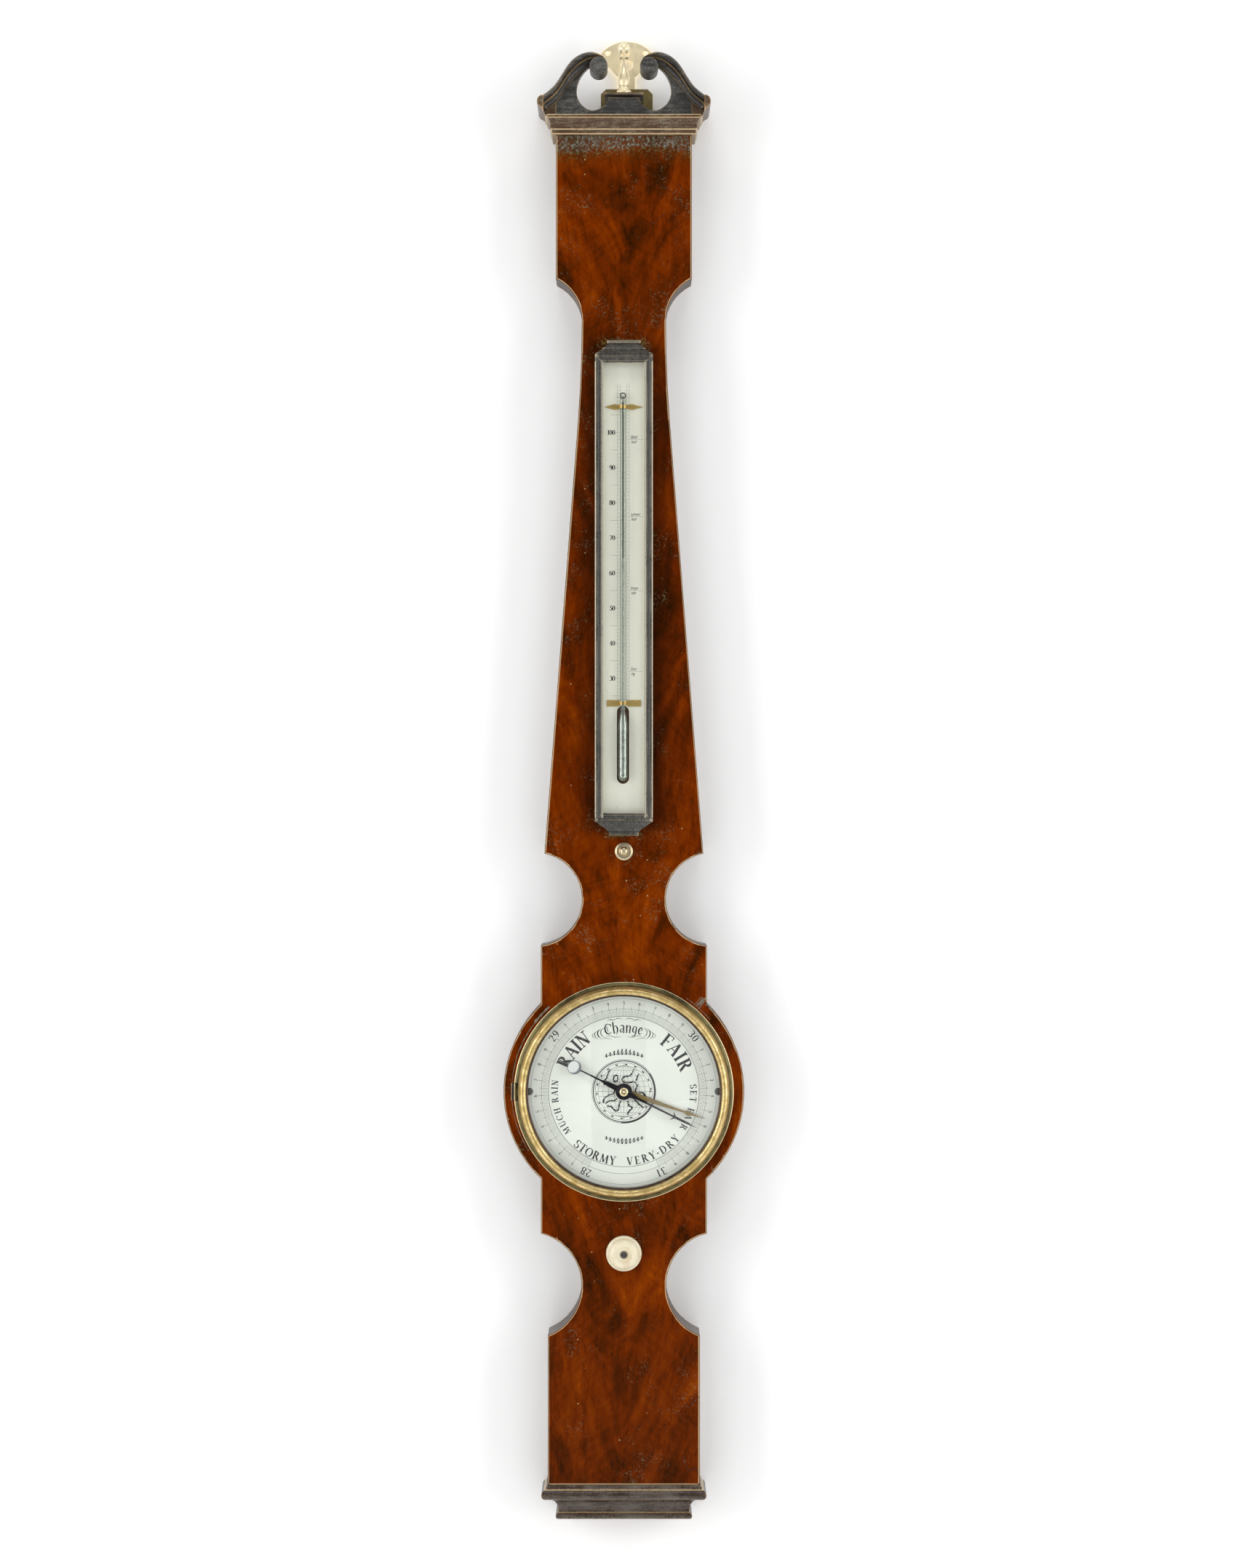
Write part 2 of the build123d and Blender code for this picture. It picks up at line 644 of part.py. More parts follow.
with BuildSketch() as blade:
    with BuildLine():
        Polyline((56.4, 0), (47, 0.75), (39.5, 0.8), (36.6, 3.1), (38, 0.6), (11.5, 0.75), (5, 1.9), (-5, 1.9),
                 (-12, 1.6), (-17.5, 0.6), (-49.8, 0.35), (-49.8, 0))
        mirror(about=Plane.XZ)
    make_face()

with BuildPart() as indicating_hand:
    with BuildSketch(facing(hand_h)):
        add(blade.sketch, rotation=reading_angle)
        Circle(hub_r)
    extrude(amount=hand_thick)
    rod(0, 0, hub_r, hand_h, hand_h + 1.2)
    rod(0, 0, arbor_r, 30, 40, Mode.SUBTRACT)
save(indicating_hand, "indicating_hand")

counterpoise_reach = 38.0

with BuildPart() as hand_counterpoise:
    tail = radians(reading_angle + 180)
    rod(counterpoise_reach * cos(tail), counterpoise_reach * sin(tail), 4.75, hand_h + hand_thick, 36.2)
    fillet(hand_counterpoise.edges().sort_by(Axis.Y)[0], 0.4)
save(hand_counterpoise, "hand_counterpoise")

with BuildPart() as hand_cap:
    with BuildSketch(turning()):
        with BuildLine():
            Polyline((arbor_r, 35.4), (3.15, 35.4), (3.15, 36.3))
            ThreePointArc((3.15, 36.3), (2.6, 37.1), (1.5, 37.4))
            Polyline((1.5, 37.4), (1.2, 37.1), (0.6, 37.1), (0, 37.5), (0, 36.4), (arbor_r, 36.4), (arbor_r, 35.4))
        make_face()
    revolve(axis=out_axis())
save(hand_cap, "hand_cap")

with BuildPart() as hand_arbor:
    rod(0, 0, arbor_r, 5.3, 36.4)
save(hand_arbor, "hand_arbor")


def pulley(z, groove_r, rim_r, mid_h, half_thick, groove_half):
    """A grooved pulley about an axis out of the wall."""
    rod(0, z, rim_r, mid_h - half_thick, mid_h + half_thick)
    with BuildSketch(turning(0, z)) as groove:
        with BuildLine():
            Polyline((rim_r + 1, mid_h - groove_half - 0.6), (rim_r + 1, mid_h + groove_half + 0.6),
                     (groove_r, mid_h + groove_half), (groove_r, mid_h - groove_half),
                     (rim_r + 1, mid_h - groove_half - 0.6))
        make_face()
    revolve(groove.sketch, axis=out_axis(0, z), mode=Mode.SUBTRACT)


with BuildPart() as thread_pulley:
    pulley(0, thread_r - 0.6, 8.6, thread_h, 1.8, 0.6)
    rod(0, 0, arbor_r, 0, 20, Mode.SUBTRACT)
save(thread_pulley, "thread_pulley")

with BuildPart() as rear_bridge:
    block(-4, 4, -25.5, 25.5, 5.2, 7)
    block(-4, 4, 22.5, 25.5, 7, dial_back)
    block(-4, 4, -25.5, -22.5, 7, dial_back)
    fillet(rear_bridge.edges().filter_by(Axis.X).group_by(Axis.Y)[-1], 1.2)
    rod(0, 0, arbor_r + running, 0, 20, Mode.SUBTRACT)
save(rear_bridge, "rear_bridge")

set_hand_h = 32.6

with BuildSketch() as pointer:
    with BuildLine():
        Polyline((59, 0), (50.5, 0.55), (46, 1.9), (44, 0.6), (5, 2.1), (-3, 2.1), (-3, 0))
        mirror(about=Plane.XZ)
    make_face()

with BuildPart() as set_hand:
    with BuildSketch(facing(set_hand_h)):
        add(pointer.sketch, rotation=set_angle)
        Circle(5.7)
        Circle(sleeve_r, mode=Mode.SUBTRACT)
    extrude(amount=0.8)
save(set_hand, "set_hand")

with BuildPart() as set_sleeve:
    rod(0, 0, sleeve_r, 19, set_hand_h + 0.8)
    pulley(0, cord_r - cord_thick - 0.3, 9.2, cord_h, 2.5, 0.8)
    rod(0, 0, arbor_r + running, 10, 40, Mode.SUBTRACT)
save(set_sleeve, "set_sleeve")

with BuildPart() as setting_cord:
    with BuildLine(facing(cord_h)) as loop:
        Line((cord_r, 0), (cord_r, knob_z))
        ThreePointArc((cord_r, knob_z), (0, knob_z - cord_r), (-cord_r, knob_z))
        Line((-cord_r, knob_z), (-cord_r, 0))
        ThreePointArc((-cord_r, 0), (0, cord_r), (cord_r, 0))
    with BuildSketch(Plane(origin=(case_x + cord_r, -cord_h, dial_z - 30), x_dir=(1, 0, 0), z_dir=(0, 0, -1))):
        Circle(cord_thick)
    sweep(path=loop.line)
save(setting_cord, "setting_cord")


# ---------------------------------------------------------------- setting knob
with BuildPart() as setting_knob:
    with BuildSketch(turning(0, knob_z)):
        with BuildLine():
            Polyline((0, 36), (sleeve_r, 36), (sleeve_r, 33.8), (11.2, 33.8))
            ThreePointArc((11.2, 33.8), (12.25, 35.6), (11.6, 37.8))
            Polyline((11.6, 37.8), (11.0, 38.2), (10.6, 38.8))
            ThreePointArc((10.6, 38.8), (8.6, 41.2), (5.6, 42.2))
            Polyline((5.6, 42.2), (5.3, 41.9), (3.4, 41.9), (3.1, 42.2), (2.4, 42.2), (1.0, 42.2), (1.0, 37.5),
                     (0, 37.5), (0, 36))
        make_face()
    revolve(axis=out_axis(0, knob_z))
save(setting_knob, "setting_knob")

with BuildPart() as knob_screw:
    rod(0, knob_z, 2.3, 42.2, 43.4)
    rod(0, knob_z, 1.0, 37.5, 42.2)
    block(-3, 3, knob_z - 0.3, knob_z + 0.3, 42.8, 44, Mode.SUBTRACT)
save(knob_screw, "knob_screw")

with BuildPart() as knob_spindle:
    rod(0, knob_z, sleeve_r, 18.5, 36)
    pulley(knob_z, cord_r - cord_thick - 0.3, 9.2, cord_h, 2.5, 0.8)
save(knob_spindle, "knob_spindle")

with BuildPart() as knob_bush:
    rod(0, knob_z, 4.5, 26, front)
    rod(0, knob_z, 6, front, front + 0.5)
    rod(0, knob_z, sleeve_r + running, 20, 40, Mode.SUBTRACT)
save(knob_bush, "knob_bush")


# ---------------------------------------------------------------- siphon tube and its weights
def tube_route(low_end):
    """The tube's middle line: down the long limb, round the bend and up the short one."""
    bend_r = (thread_r - limb_x) / 2
    return [(limb_x, low_end), (limb_x, bend_z), (limb_x + bend_r, bend_z - bend_r), (thread_r, bend_z)]


def tube_run(r, z_long, z_short, mode=Mode.ADD):
    """A round bar along the tube's middle line."""
    long_end, bend_in, bend_mid, bend_out = tube_route(z_long)
    with BuildLine(facing(thread_h)) as route:
        Line(long_end, bend_in)
        ThreePointArc(bend_in, bend_mid, bend_out)
        Line(bend_out, (thread_r, z_short))
    start = Plane(origin=(case_x + limb_x, -thread_h, dial_z + z_long), x_dir=(1, 0, 0), z_dir=(0, 0, -1))
    with BuildSketch(start) as ring:
        Circle(r)
    sweep(ring.sketch, path=route.line, mode=mode)


with BuildPart() as siphon_tube:
    tube_run(tube_r, tube_top - tube_r, short_top)
    with Locations((case_x + limb_x, -thread_h, dial_z + tube_top - tube_r)):
        Sphere(tube_r)
    tube_run(bore_r, tube_top - tube_r, short_top, Mode.SUBTRACT)
    with Locations((case_x + limb_x, -thread_h, dial_z + tube_top - tube_r)):
        Sphere(bore_r, mode=Mode.SUBTRACT)
save(siphon_tube, "siphon_tube")

with BuildPart() as barometer_mercury:
    tube_run(bore_r - 0.05, mercury_top, mercury_foot)
save(barometer_mercury, "barometer_mercury")

with BuildPart() as tube_straps:
    for z in strap_heights:
        block(-24.5, strap_ends[z], z - 4, z + 4, 4.2, 5)
    for x, z in strap_screws:
        back_screw(x, z, 4.2, 10, Mode.SUBTRACT, 0.02)
save(tube_straps, "tube_straps")

with BuildPart() as float_weight:
    post(thread_r, thread_h, 2.4, float_foot, float_foot + float_long)
    fillet(float_weight.edges(), 0.8)
save(float_weight, "float_weight")

weight_top = -52.0

with BuildPart() as counterweight:
    post(-thread_r, thread_h, 2.3, weight_top - 16, weight_top)
    fillet(counterweight.edges(), 0.6)
save(counterweight, "counterweight")

silk_r = 0.25
with BuildPart() as float_thread:
    post(thread_r, thread_h, silk_r, float_foot + float_long, 0)
save(float_thread, "float_thread")

with BuildPart() as counterweight_thread:
    post(-thread_r, thread_h, silk_r, weight_top, 0)
save(counterweight_thread, "counterweight_thread")


# ---------------------------------------------------------------- thermometer box
brow_steps = [(0, 19.8, 44.8), (1.2, 18.7, 45), (2.6, 16.7, 43.4), (4, 14.8, 42), (4.6, 14.4, 42.4), (6.2, 12.6, 41),
              (7.6, 11.1, 39.8), (8.2, 11, 39.6), (8.4, 11.5, 41.4), (10.1, 11.5, 41.2)]
foot_steps = [(0, 19.8, 44.8), (0.8, 18.4, 44), (3, 15.6, 43.2), (5, 12.6, 41.4), (6.6, 10.6, 40.6), (7.4, 9.9, 40.2),
              (7.6, 10.1, 41), (9.7, 10, 41)]


def rail_section():
    """A rail's section: x in from the box's outer side, y out from the wall."""
    Polyline((0, front + 0.2), (0, 45.6), (0.6, box_front), (1.7, box_front))
    ThreePointArc((1.7, box_front), (2.9, 45.1), (4.2, 45.3))
    Polyline((4.2, 45.3), (rail_wide, 43.2), (rail_wide, 43.0), (4.6, 43.0), (4.6, front + 0.2),
             (0, front + 0.2))


with BuildPart() as thermometer_rails:
    for side in (-1, 1):
        rail_plane = Plane(origin=(case_x + side * box_half, 0, dial_z + box_foot), x_dir=(-side, 0, 0),
                           z_dir=(0, 0, side))
        with BuildSketch(rail_plane):
            with BuildLine():
                rail_section()
            make_face()
        extrude(amount=side * (box_head - box_foot))
    for z, way in ((box_foot, 1), (box_head, -1)):
        with BuildSketch(facing(30)):
            Polygon((-box_half - 1, z - way), (box_half + 1, z - way), (0, z + way * box_half), align=None)
        extrude(amount=20, mode=Mode.SUBTRACT)
save(thermometer_rails, "thermometer_rails")

for name, z_edge, way, steps in (("thermometer_top_cap", box_head, 1, brow_steps),
                                 ("thermometer_bottom_cap", box_foot, -1, foot_steps)):
    with BuildPart() as cap:
        rail_plane = Plane(origin=(case_x - box_half, 0, dial_z + z_edge), x_dir=(0, 0, -way),
                           z_dir=(-way, 0, 0))
        with BuildSketch(rail_plane):
            with BuildLine():
                rail_section()
            make_face()
        extrude(amount=-way * 2 * box_half)
        with BuildSketch(facing(30)):
            Polygon((-box_half, z_edge + way), (box_half, z_edge + way), (box_half, z_edge),
                    (0, z_edge - way * box_half), (-box_half, z_edge), align=None)
        extrude(amount=20, mode=Mode.INTERSECT)
        # the brow narrows in a hollow to a small fillet
        for (rise0, half0, out0), (rise1, half1, out1) in zip(steps, steps[1:]):
            for rise, half, out in ((rise0, half0, out0), (rise1, half1, out1)):
                lift = Plane(origin=(case_x, -(front + 0.2 + out) / 2, dial_z + z_edge + way * rise),
                             x_dir=(1, 0, 0), z_dir=(0, 0, way))
                with BuildSketch(lift):
                    Rectangle(2 * half, out - front - 0.2)
            loft(ruled=True)
    save(cap, name)

slot_half = 4.15

with BuildPart() as thermometer_board:
    block(-15, 15, box_foot + 4.8, box_head - 4.8, front + 0.2, scale_face - 1)
    with BuildSketch(facing(34.4, stem_x, 238.4)):
        SlotOverall(53.5, 2 * slot_half, rotation=90)
    extrude(amount=10, mode=Mode.SUBTRACT)
    for x, z in ((-6.1, 470.2), (5.0, 470.2), (-6.5, 266.9), (5.2, 266.9)):
        rod(x, z, 0.7, 34.6, 40, Mode.SUBTRACT)
save(thermometer_board, "thermometer_board")

with BuildPart() as thermometer_plate:
    block(-15, 15, box_foot + 4.8, box_head - 4.8, scale_face - 1, scale_face)
    with BuildSketch(facing(30, stem_x, 238.4)):
        SlotOverall(53.5, 2 * slot_half, rotation=90)
    extrude(amount=10, mode=Mode.SUBTRACT)
    for x, z in ((-6.1, 470.2), (5.0, 470.2), (-6.5, 266.9), (5.2, 266.9)):
        rod(x, z, 0.7, 30, 40, Mode.SUBTRACT)
save(thermometer_plate, "thermometer_plate")

with BuildPart() as thermometer_glass:
    block(-15, 15, box_foot + 4.8, box_head - 4.8, 42, 42.95)
save(thermometer_glass, "thermometer_glass")

stem_top = 477.6
stem_foot = 262.5
bulb_foot = 213.4


def bulb_profile(r_stem, r_bulb, top, foot, ball_foot):
    """Half the section of a stem that swells into a long bulb."""
    Polyline((0, top), (r_stem, top), (r_stem, foot))
    ThreePointArc((r_stem, foot), (r_bulb - 0.35, foot - 7), (r_bulb, foot - 15))
    Line((r_bulb, foot - 15), (r_bulb, ball_foot + r_bulb))
    ThreePointArc((r_bulb, ball_foot + r_bulb),
                  (r_bulb * cos(radians(45)), ball_foot + r_bulb * (1 - sin(radians(45)))), (0, ball_foot))
    Line((0, ball_foot), (0, top))


with BuildPart() as thermometer_tube:
    with BuildSketch(facing(stem_h, stem_x)):
        with BuildLine():
            bulb_profile(stem_r, bulb_r, stem_top, stem_foot, bulb_foot)
        make_face()
        with BuildLine(mode=Mode.PRIVATE) as bore:
            bulb_profile(0.4, bulb_r - 0.4, stem_top - 4, stem_foot, bulb_foot + 0.4)
        make_face(bore.line, mode=Mode.SUBTRACT)
    revolve(axis=up_axis(stem_x, stem_h))
save(thermometer_tube, "thermometer_tube")

temperature_z = 365.9      # 64 degrees Fahrenheit

with BuildPart() as thermometer_mercury:
    with BuildSketch(facing(stem_h, stem_x)):
        with BuildLine():
            bulb_profile(0.35, bulb_r - 0.45, temperature_z, stem_foot, bulb_foot + 0.45)
        make_face()
    revolve(axis=up_axis(stem_x, stem_h))
save(thermometer_mercury, "thermometer_mercury")


def clip_section(half):
    """A thin strap across the plate, arched over the tube: x across, y out from the wall."""
    inner = stem_r + 0.05
    outer = inner + clip_thick
    low, high = scale_face, scale_face + clip_thick
    Polyline((stem_x - inner, low), (-half, low), (-half, high), (stem_x - outer, high), (stem_x - outer, stem_h))
    ThreePointArc((stem_x - outer, stem_h), (stem_x, stem_h + outer), (stem_x + outer, stem_h))
    Polyline((stem_x + outer, stem_h), (stem_x + outer, high), (half, high), (half, low), (stem_x + inner, low),
             (stem_x + inner, stem_h))
    ThreePointArc((stem_x + inner, stem_h), (stem_x, stem_h + inner), (stem_x - inner, stem_h))
    Line((stem_x - inner, stem_h), (stem_x - inner, low))


clip_screws = {"upper": ((-6.1, 470.2), (5.0, 470.2)), "lower": ((-6.5, 266.9), (5.2, 266.9))}

for name, z, half, screws in (("upper_tube_clip", 470.2, 13, clip_screws["upper"]),
                              ("lower_tube_clip", 266.9, 11.6, clip_screws["lower"])):
    with BuildPart() as clip:
        with BuildSketch(level(z + 2.3)):
            with BuildLine():
                clip_section(half)
            make_face()
        extrude(amount=4.6)
        with BuildSketch(facing(30, 0, z)):
            if name == "upper_tube_clip":
                Polygon((-13, 0), (-6.5, 2), (-3.6, 1.5), (-1.5, 1.2), (1.5, 1.2), (3, 1.5), (5.5, 2), (13, 0),
                        (5.5, -2), (3, -1.5), (1.5, -1.2), (-1.5, -1.2), (-3.6, -1.5), (-6.5, -2), align=None)
            else:
                Polygon((-11.6, 2.2), (-4, 2.2), (-2.6, 1.2), (1.6, 1.2), (3, 2.2), (11.6, 2.2), (11.6, -2.2),
                        (3, -2.2), (1.6, -1.2), (-2.6, -1.2), (-4, -2.2), (-11.6, -2.2), align=None)
        extrude(amount=20, mode=Mode.INTERSECT)
        for x, screw_z in screws:
            rod(x, screw_z, 0.7, 30, 40, Mode.SUBTRACT)
    save(clip, name)

with BuildPart() as clip_screw_set:
    for x, z in clip_screws["upper"] + clip_screws["lower"]:
        rod(x, z, 1.5, scale_face + 0.5, scale_face + 1.2)
        rod(x, z, 0.65, 34.8, scale_face + 0.5)
        with Locations((case_x + x, -(scale_face + 1.2), dial_z + z)):
            Box(4, 0.5, 0.4, rotation=(0, 30 * x, 0), mode=Mode.SUBTRACT)
save(clip_screw_set, "clip_screws")

with BuildPart() as box_fixings:
    # lower tongue, open at one side for the catch, and a plain upper hook
    block(-4, 4, 181.5, 183.5, 19, front + 0.2)
    block(-3.2, 5, 181, 184, 22.4, 25.6, Mode.SUBTRACT)
    block(-4.4, 4.4, 499, 501, 20, front + 0.2)
    block(-4.4, 4.4, 497, 501, 20, 22)
save(box_fixings, "box_fixings")


# ---------------------------------------------------------------- catch below the box
with BuildPart() as catch_knob:
    with BuildSketch(turning(0, catch_z)):
        with BuildLine():
            Polyline((1.5, 33.4), (4.2, 33.4), (4.4, 34.4), (6.1, 35), (6.35, 35.8), (6.1, 36.7), (4.9, 37.2),
                     (3.4, 37.2), (3.0, 37.8))
            ThreePointArc((3.0, 37.8), (1.6, 39.2), (0, 39.6))
            Polyline((0, 39.6), (0, 36), (1.5, 36), (1.5, 33.4))
        make_face()
    revolve(axis=out_axis(0, catch_z))
save(catch_knob, "catch_knob")

with BuildPart() as catch_spindle:
    rod(0, catch_z, 1.5, 21, 36)
    block(-2.5, 2.5, catch_z, catch_z + 20, 23, 25)
    rod(0, catch_z, 3.4, 23, 25)
save(catch_spindle, "catch_spindle")
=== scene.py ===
"""Looks of the wheel barometer: its materials, engraved plates, carved mouldings, lights and camera."""
import random
from math import atan, cos, hypot, pi, radians, sin, sqrt

import bpy
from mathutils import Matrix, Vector
from mathutils.geometry import interpolate_bezier


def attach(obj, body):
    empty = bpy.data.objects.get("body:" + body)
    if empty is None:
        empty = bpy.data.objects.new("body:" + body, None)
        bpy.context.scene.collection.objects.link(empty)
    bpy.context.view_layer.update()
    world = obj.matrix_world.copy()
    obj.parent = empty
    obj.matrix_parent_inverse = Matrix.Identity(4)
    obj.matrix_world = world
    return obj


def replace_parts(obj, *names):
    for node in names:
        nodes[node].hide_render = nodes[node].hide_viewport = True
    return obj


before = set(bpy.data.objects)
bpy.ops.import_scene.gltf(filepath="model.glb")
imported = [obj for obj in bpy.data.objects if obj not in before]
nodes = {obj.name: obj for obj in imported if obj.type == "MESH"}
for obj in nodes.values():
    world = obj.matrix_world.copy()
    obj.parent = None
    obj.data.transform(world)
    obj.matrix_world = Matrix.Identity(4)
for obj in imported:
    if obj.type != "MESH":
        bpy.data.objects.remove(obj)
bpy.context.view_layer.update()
rng = random.Random(7)

# The case's centre line and the dial's centre, and how far things stand out from the wall.
CASE_X = -0.002
DIAL_Z = -0.721
FRONT = 33.0
DIAL_FACE = 31.6
SCALE_FACE = 36.2
READING = -26.4
TAIL_REACH = 0.038
BOX_FOOT, BOX_HEAD = 188.5, 500.5


def at(x, z, h):
    """A point x across from the case's centre, z above the dial's and h out from the wall, in mm."""
    return Vector((CASE_X + x / 1000, -h / 1000, DIAL_Z + z / 1000))


# ---- materials
class Finish:
    """A material with a few short ways of adding nodes."""

    def __init__(self, name):
        self.material = bpy.data.materials.new(name)
        self.material.use_nodes = True
        self.tree = self.material.node_tree
        self.surface = self.tree.nodes["Principled BSDF"]
        self.place = self.node("TexCoord").outputs["Object"]

    def node(self, kind, **values):
        """A new node. Capitalised values go to its inputs, and the others are its settings."""
        made = self.tree.nodes.new("ShaderNode" + kind)
        for key, value in values.items():
            if key[0].isupper():
                self.feed(made.inputs[key], value)
            else:
                setattr(made, key, value)
        return made

    def feed(self, socket, value):
        if hasattr(value, "is_linked"):
            self.tree.links.new(value, socket)
        else:
            socket.default_value = value

    def stretched(self, sx, sy, sz, base=None):
        scale = self.node("VectorMath", operation="MULTIPLY")
        self.feed(scale.inputs[0], base or self.place)
        scale.inputs[1].default_value = (sx, sy, sz)
        return scale.outputs[0]

    def noise(self, scale, detail=3.0, rough=0.55, vector=None, twist=0.0):
        return self.node("TexNoise", Vector=vector or self.place, Scale=scale, Detail=detail,
                         Roughness=rough, Distortion=twist).outputs["Fac"]

    def grain(self, detail, rough, sx, sy, sz, base=None):
        """A noise whose cells are squeezed by sx, sy and sz."""
        return self.noise(1.0, detail, rough, self.stretched(sx, sy, sz, base))

    def warped(self, vector, scale, amount):
        """vector, pushed about by a slow noise."""
        made = self.node("TexNoise", Vector=vector, Scale=scale, Detail=2.0)
        middle = self.node("VectorMath", operation="SUBTRACT")
        self.feed(middle.inputs[0], made.outputs["Color"])
        middle.inputs[1].default_value = (0.5, 0.5, 0.5)
        push = self.node("VectorMath", operation="MULTIPLY_ADD")
        self.feed(push.inputs[0], middle.outputs[0])
        push.inputs[1].default_value = (amount, amount, amount)
        self.feed(push.inputs[2], vector)
        return push.outputs[0]

    def split(self, vector=None):
        made = self.node("SeparateXYZ")
        self.feed(made.inputs[0], vector or self.place)
        return made.outputs

    def join(self, x, y, z):
        made = self.node("CombineXYZ")
        for socket, value in zip(made.inputs, (x, y, z)):
            self.feed(socket, value)
        return made.outputs[0]

    def sum(self, operation, a, b=0.0, clamp=False):
        made = self.node("Math", operation=operation, use_clamp=clamp)
        self.feed(made.inputs[0], a)
        self.feed(made.inputs[1], b)
        return made.outputs[0]

    def plus(self, a, b):
        return self.sum("ADD", a, b)

    def minus(self, a, b):
        return self.sum("SUBTRACT", a, b)

    def times(self, a, b, clamp=False):
        return self.sum("MULTIPLY", a, b, clamp)

    def most(self, a, b):
        return self.sum("MAXIMUM", a, b)

    def band(self, value, low, high, a=0.0, b=1.0):
        """value from low to high, laid over a to b and held at the ends."""
        made = self.node("MapRange", interpolation_type="SMOOTHSTEP")
        self.feed(made.inputs[0], value)
        for socket, number in zip(made.inputs[1:5], (low, high, a, b)):
            socket.default_value = number
        return made.outputs[0]

    def between(self, value, low, high, soft=0.0001):
        """1 where value lies from low to high, and 0 elsewhere."""
        return self.times(self.band(value, low - soft, low + soft),
                          self.band(value, high - soft, high + soft, 1.0, 0.0))

    def ramp(self, value, *stops):
        made = self.node("ValToRGB")
        self.feed(made.inputs[0], value)
        while len(made.color_ramp.elements) < len(stops):
            made.color_ramp.elements.new(0.5)
        for element, (where, colour) in zip(made.color_ramp.elements, stops):
            element.position = where
            element.color = (*colour, 1)
        return made.outputs[0]

    def blend(self, amount, a, b):
        made = self.node("Mix", data_type="RGBA")
        self.feed(made.inputs[0], amount)
        for socket, value in ((made.inputs[6], a), (made.inputs[7], b)):
            self.feed(socket, (*value, 1) if isinstance(value, tuple) else value)
        return made.outputs[2]

    def edges(self, reach, low=0.0, high=1.0, inside=True):
        """About 1 near a convex edge (inside) or in a corner, and 0 on open surface."""
        made = self.node("AmbientOcclusion", samples=6, inside=inside, only_local=inside, Distance=reach)
        return self.band(self.minus(1.0, made.outputs["AO"]), low, high)

    def bump(self, height, strength, distance):
        made = self.node("Bump", Strength=strength, Distance=distance, Height=height)
        self.feed(self.surface.inputs["Normal"], made.outputs[0])

    def set(self, **values):
        names = {"colour": "Base Color", "roughness": "Roughness", "metallic": "Metallic",
                 "coat": "Coat Weight", "coat_roughness": "Coat Roughness",
                 "specular": "Specular IOR Level", "sheen": "Sheen Weight"}
        for key, value in values.items():
            self.feed(self.surface.inputs[names[key]], (*value, 1) if isinstance(value, tuple) else value)
        return self


def box_distance(k, x0, x1, z0, z1):
    """How far, in metres, a point of the front lies outside a rectangle given in the case's mm."""
    low, high = at(x0, z0, 0), at(x1, z1, 0)
    across, _, up = k.split()
    parts = []
    for value, lo, hi in ((across, low.x, high.x), (up, low.z, high.z)):
        off = k.sum("ABSOLUTE", k.minus(value, (lo + hi) / 2))
        parts.append(k.most(k.minus(off, (hi - lo) / 2), 0.0))
    return distance(k, *parts)


def distance(k, x, z):
    """The length of a step of x across and z up."""
    return k.sum("SQRT", k.plus(k.times(x, x), k.times(z, z)))


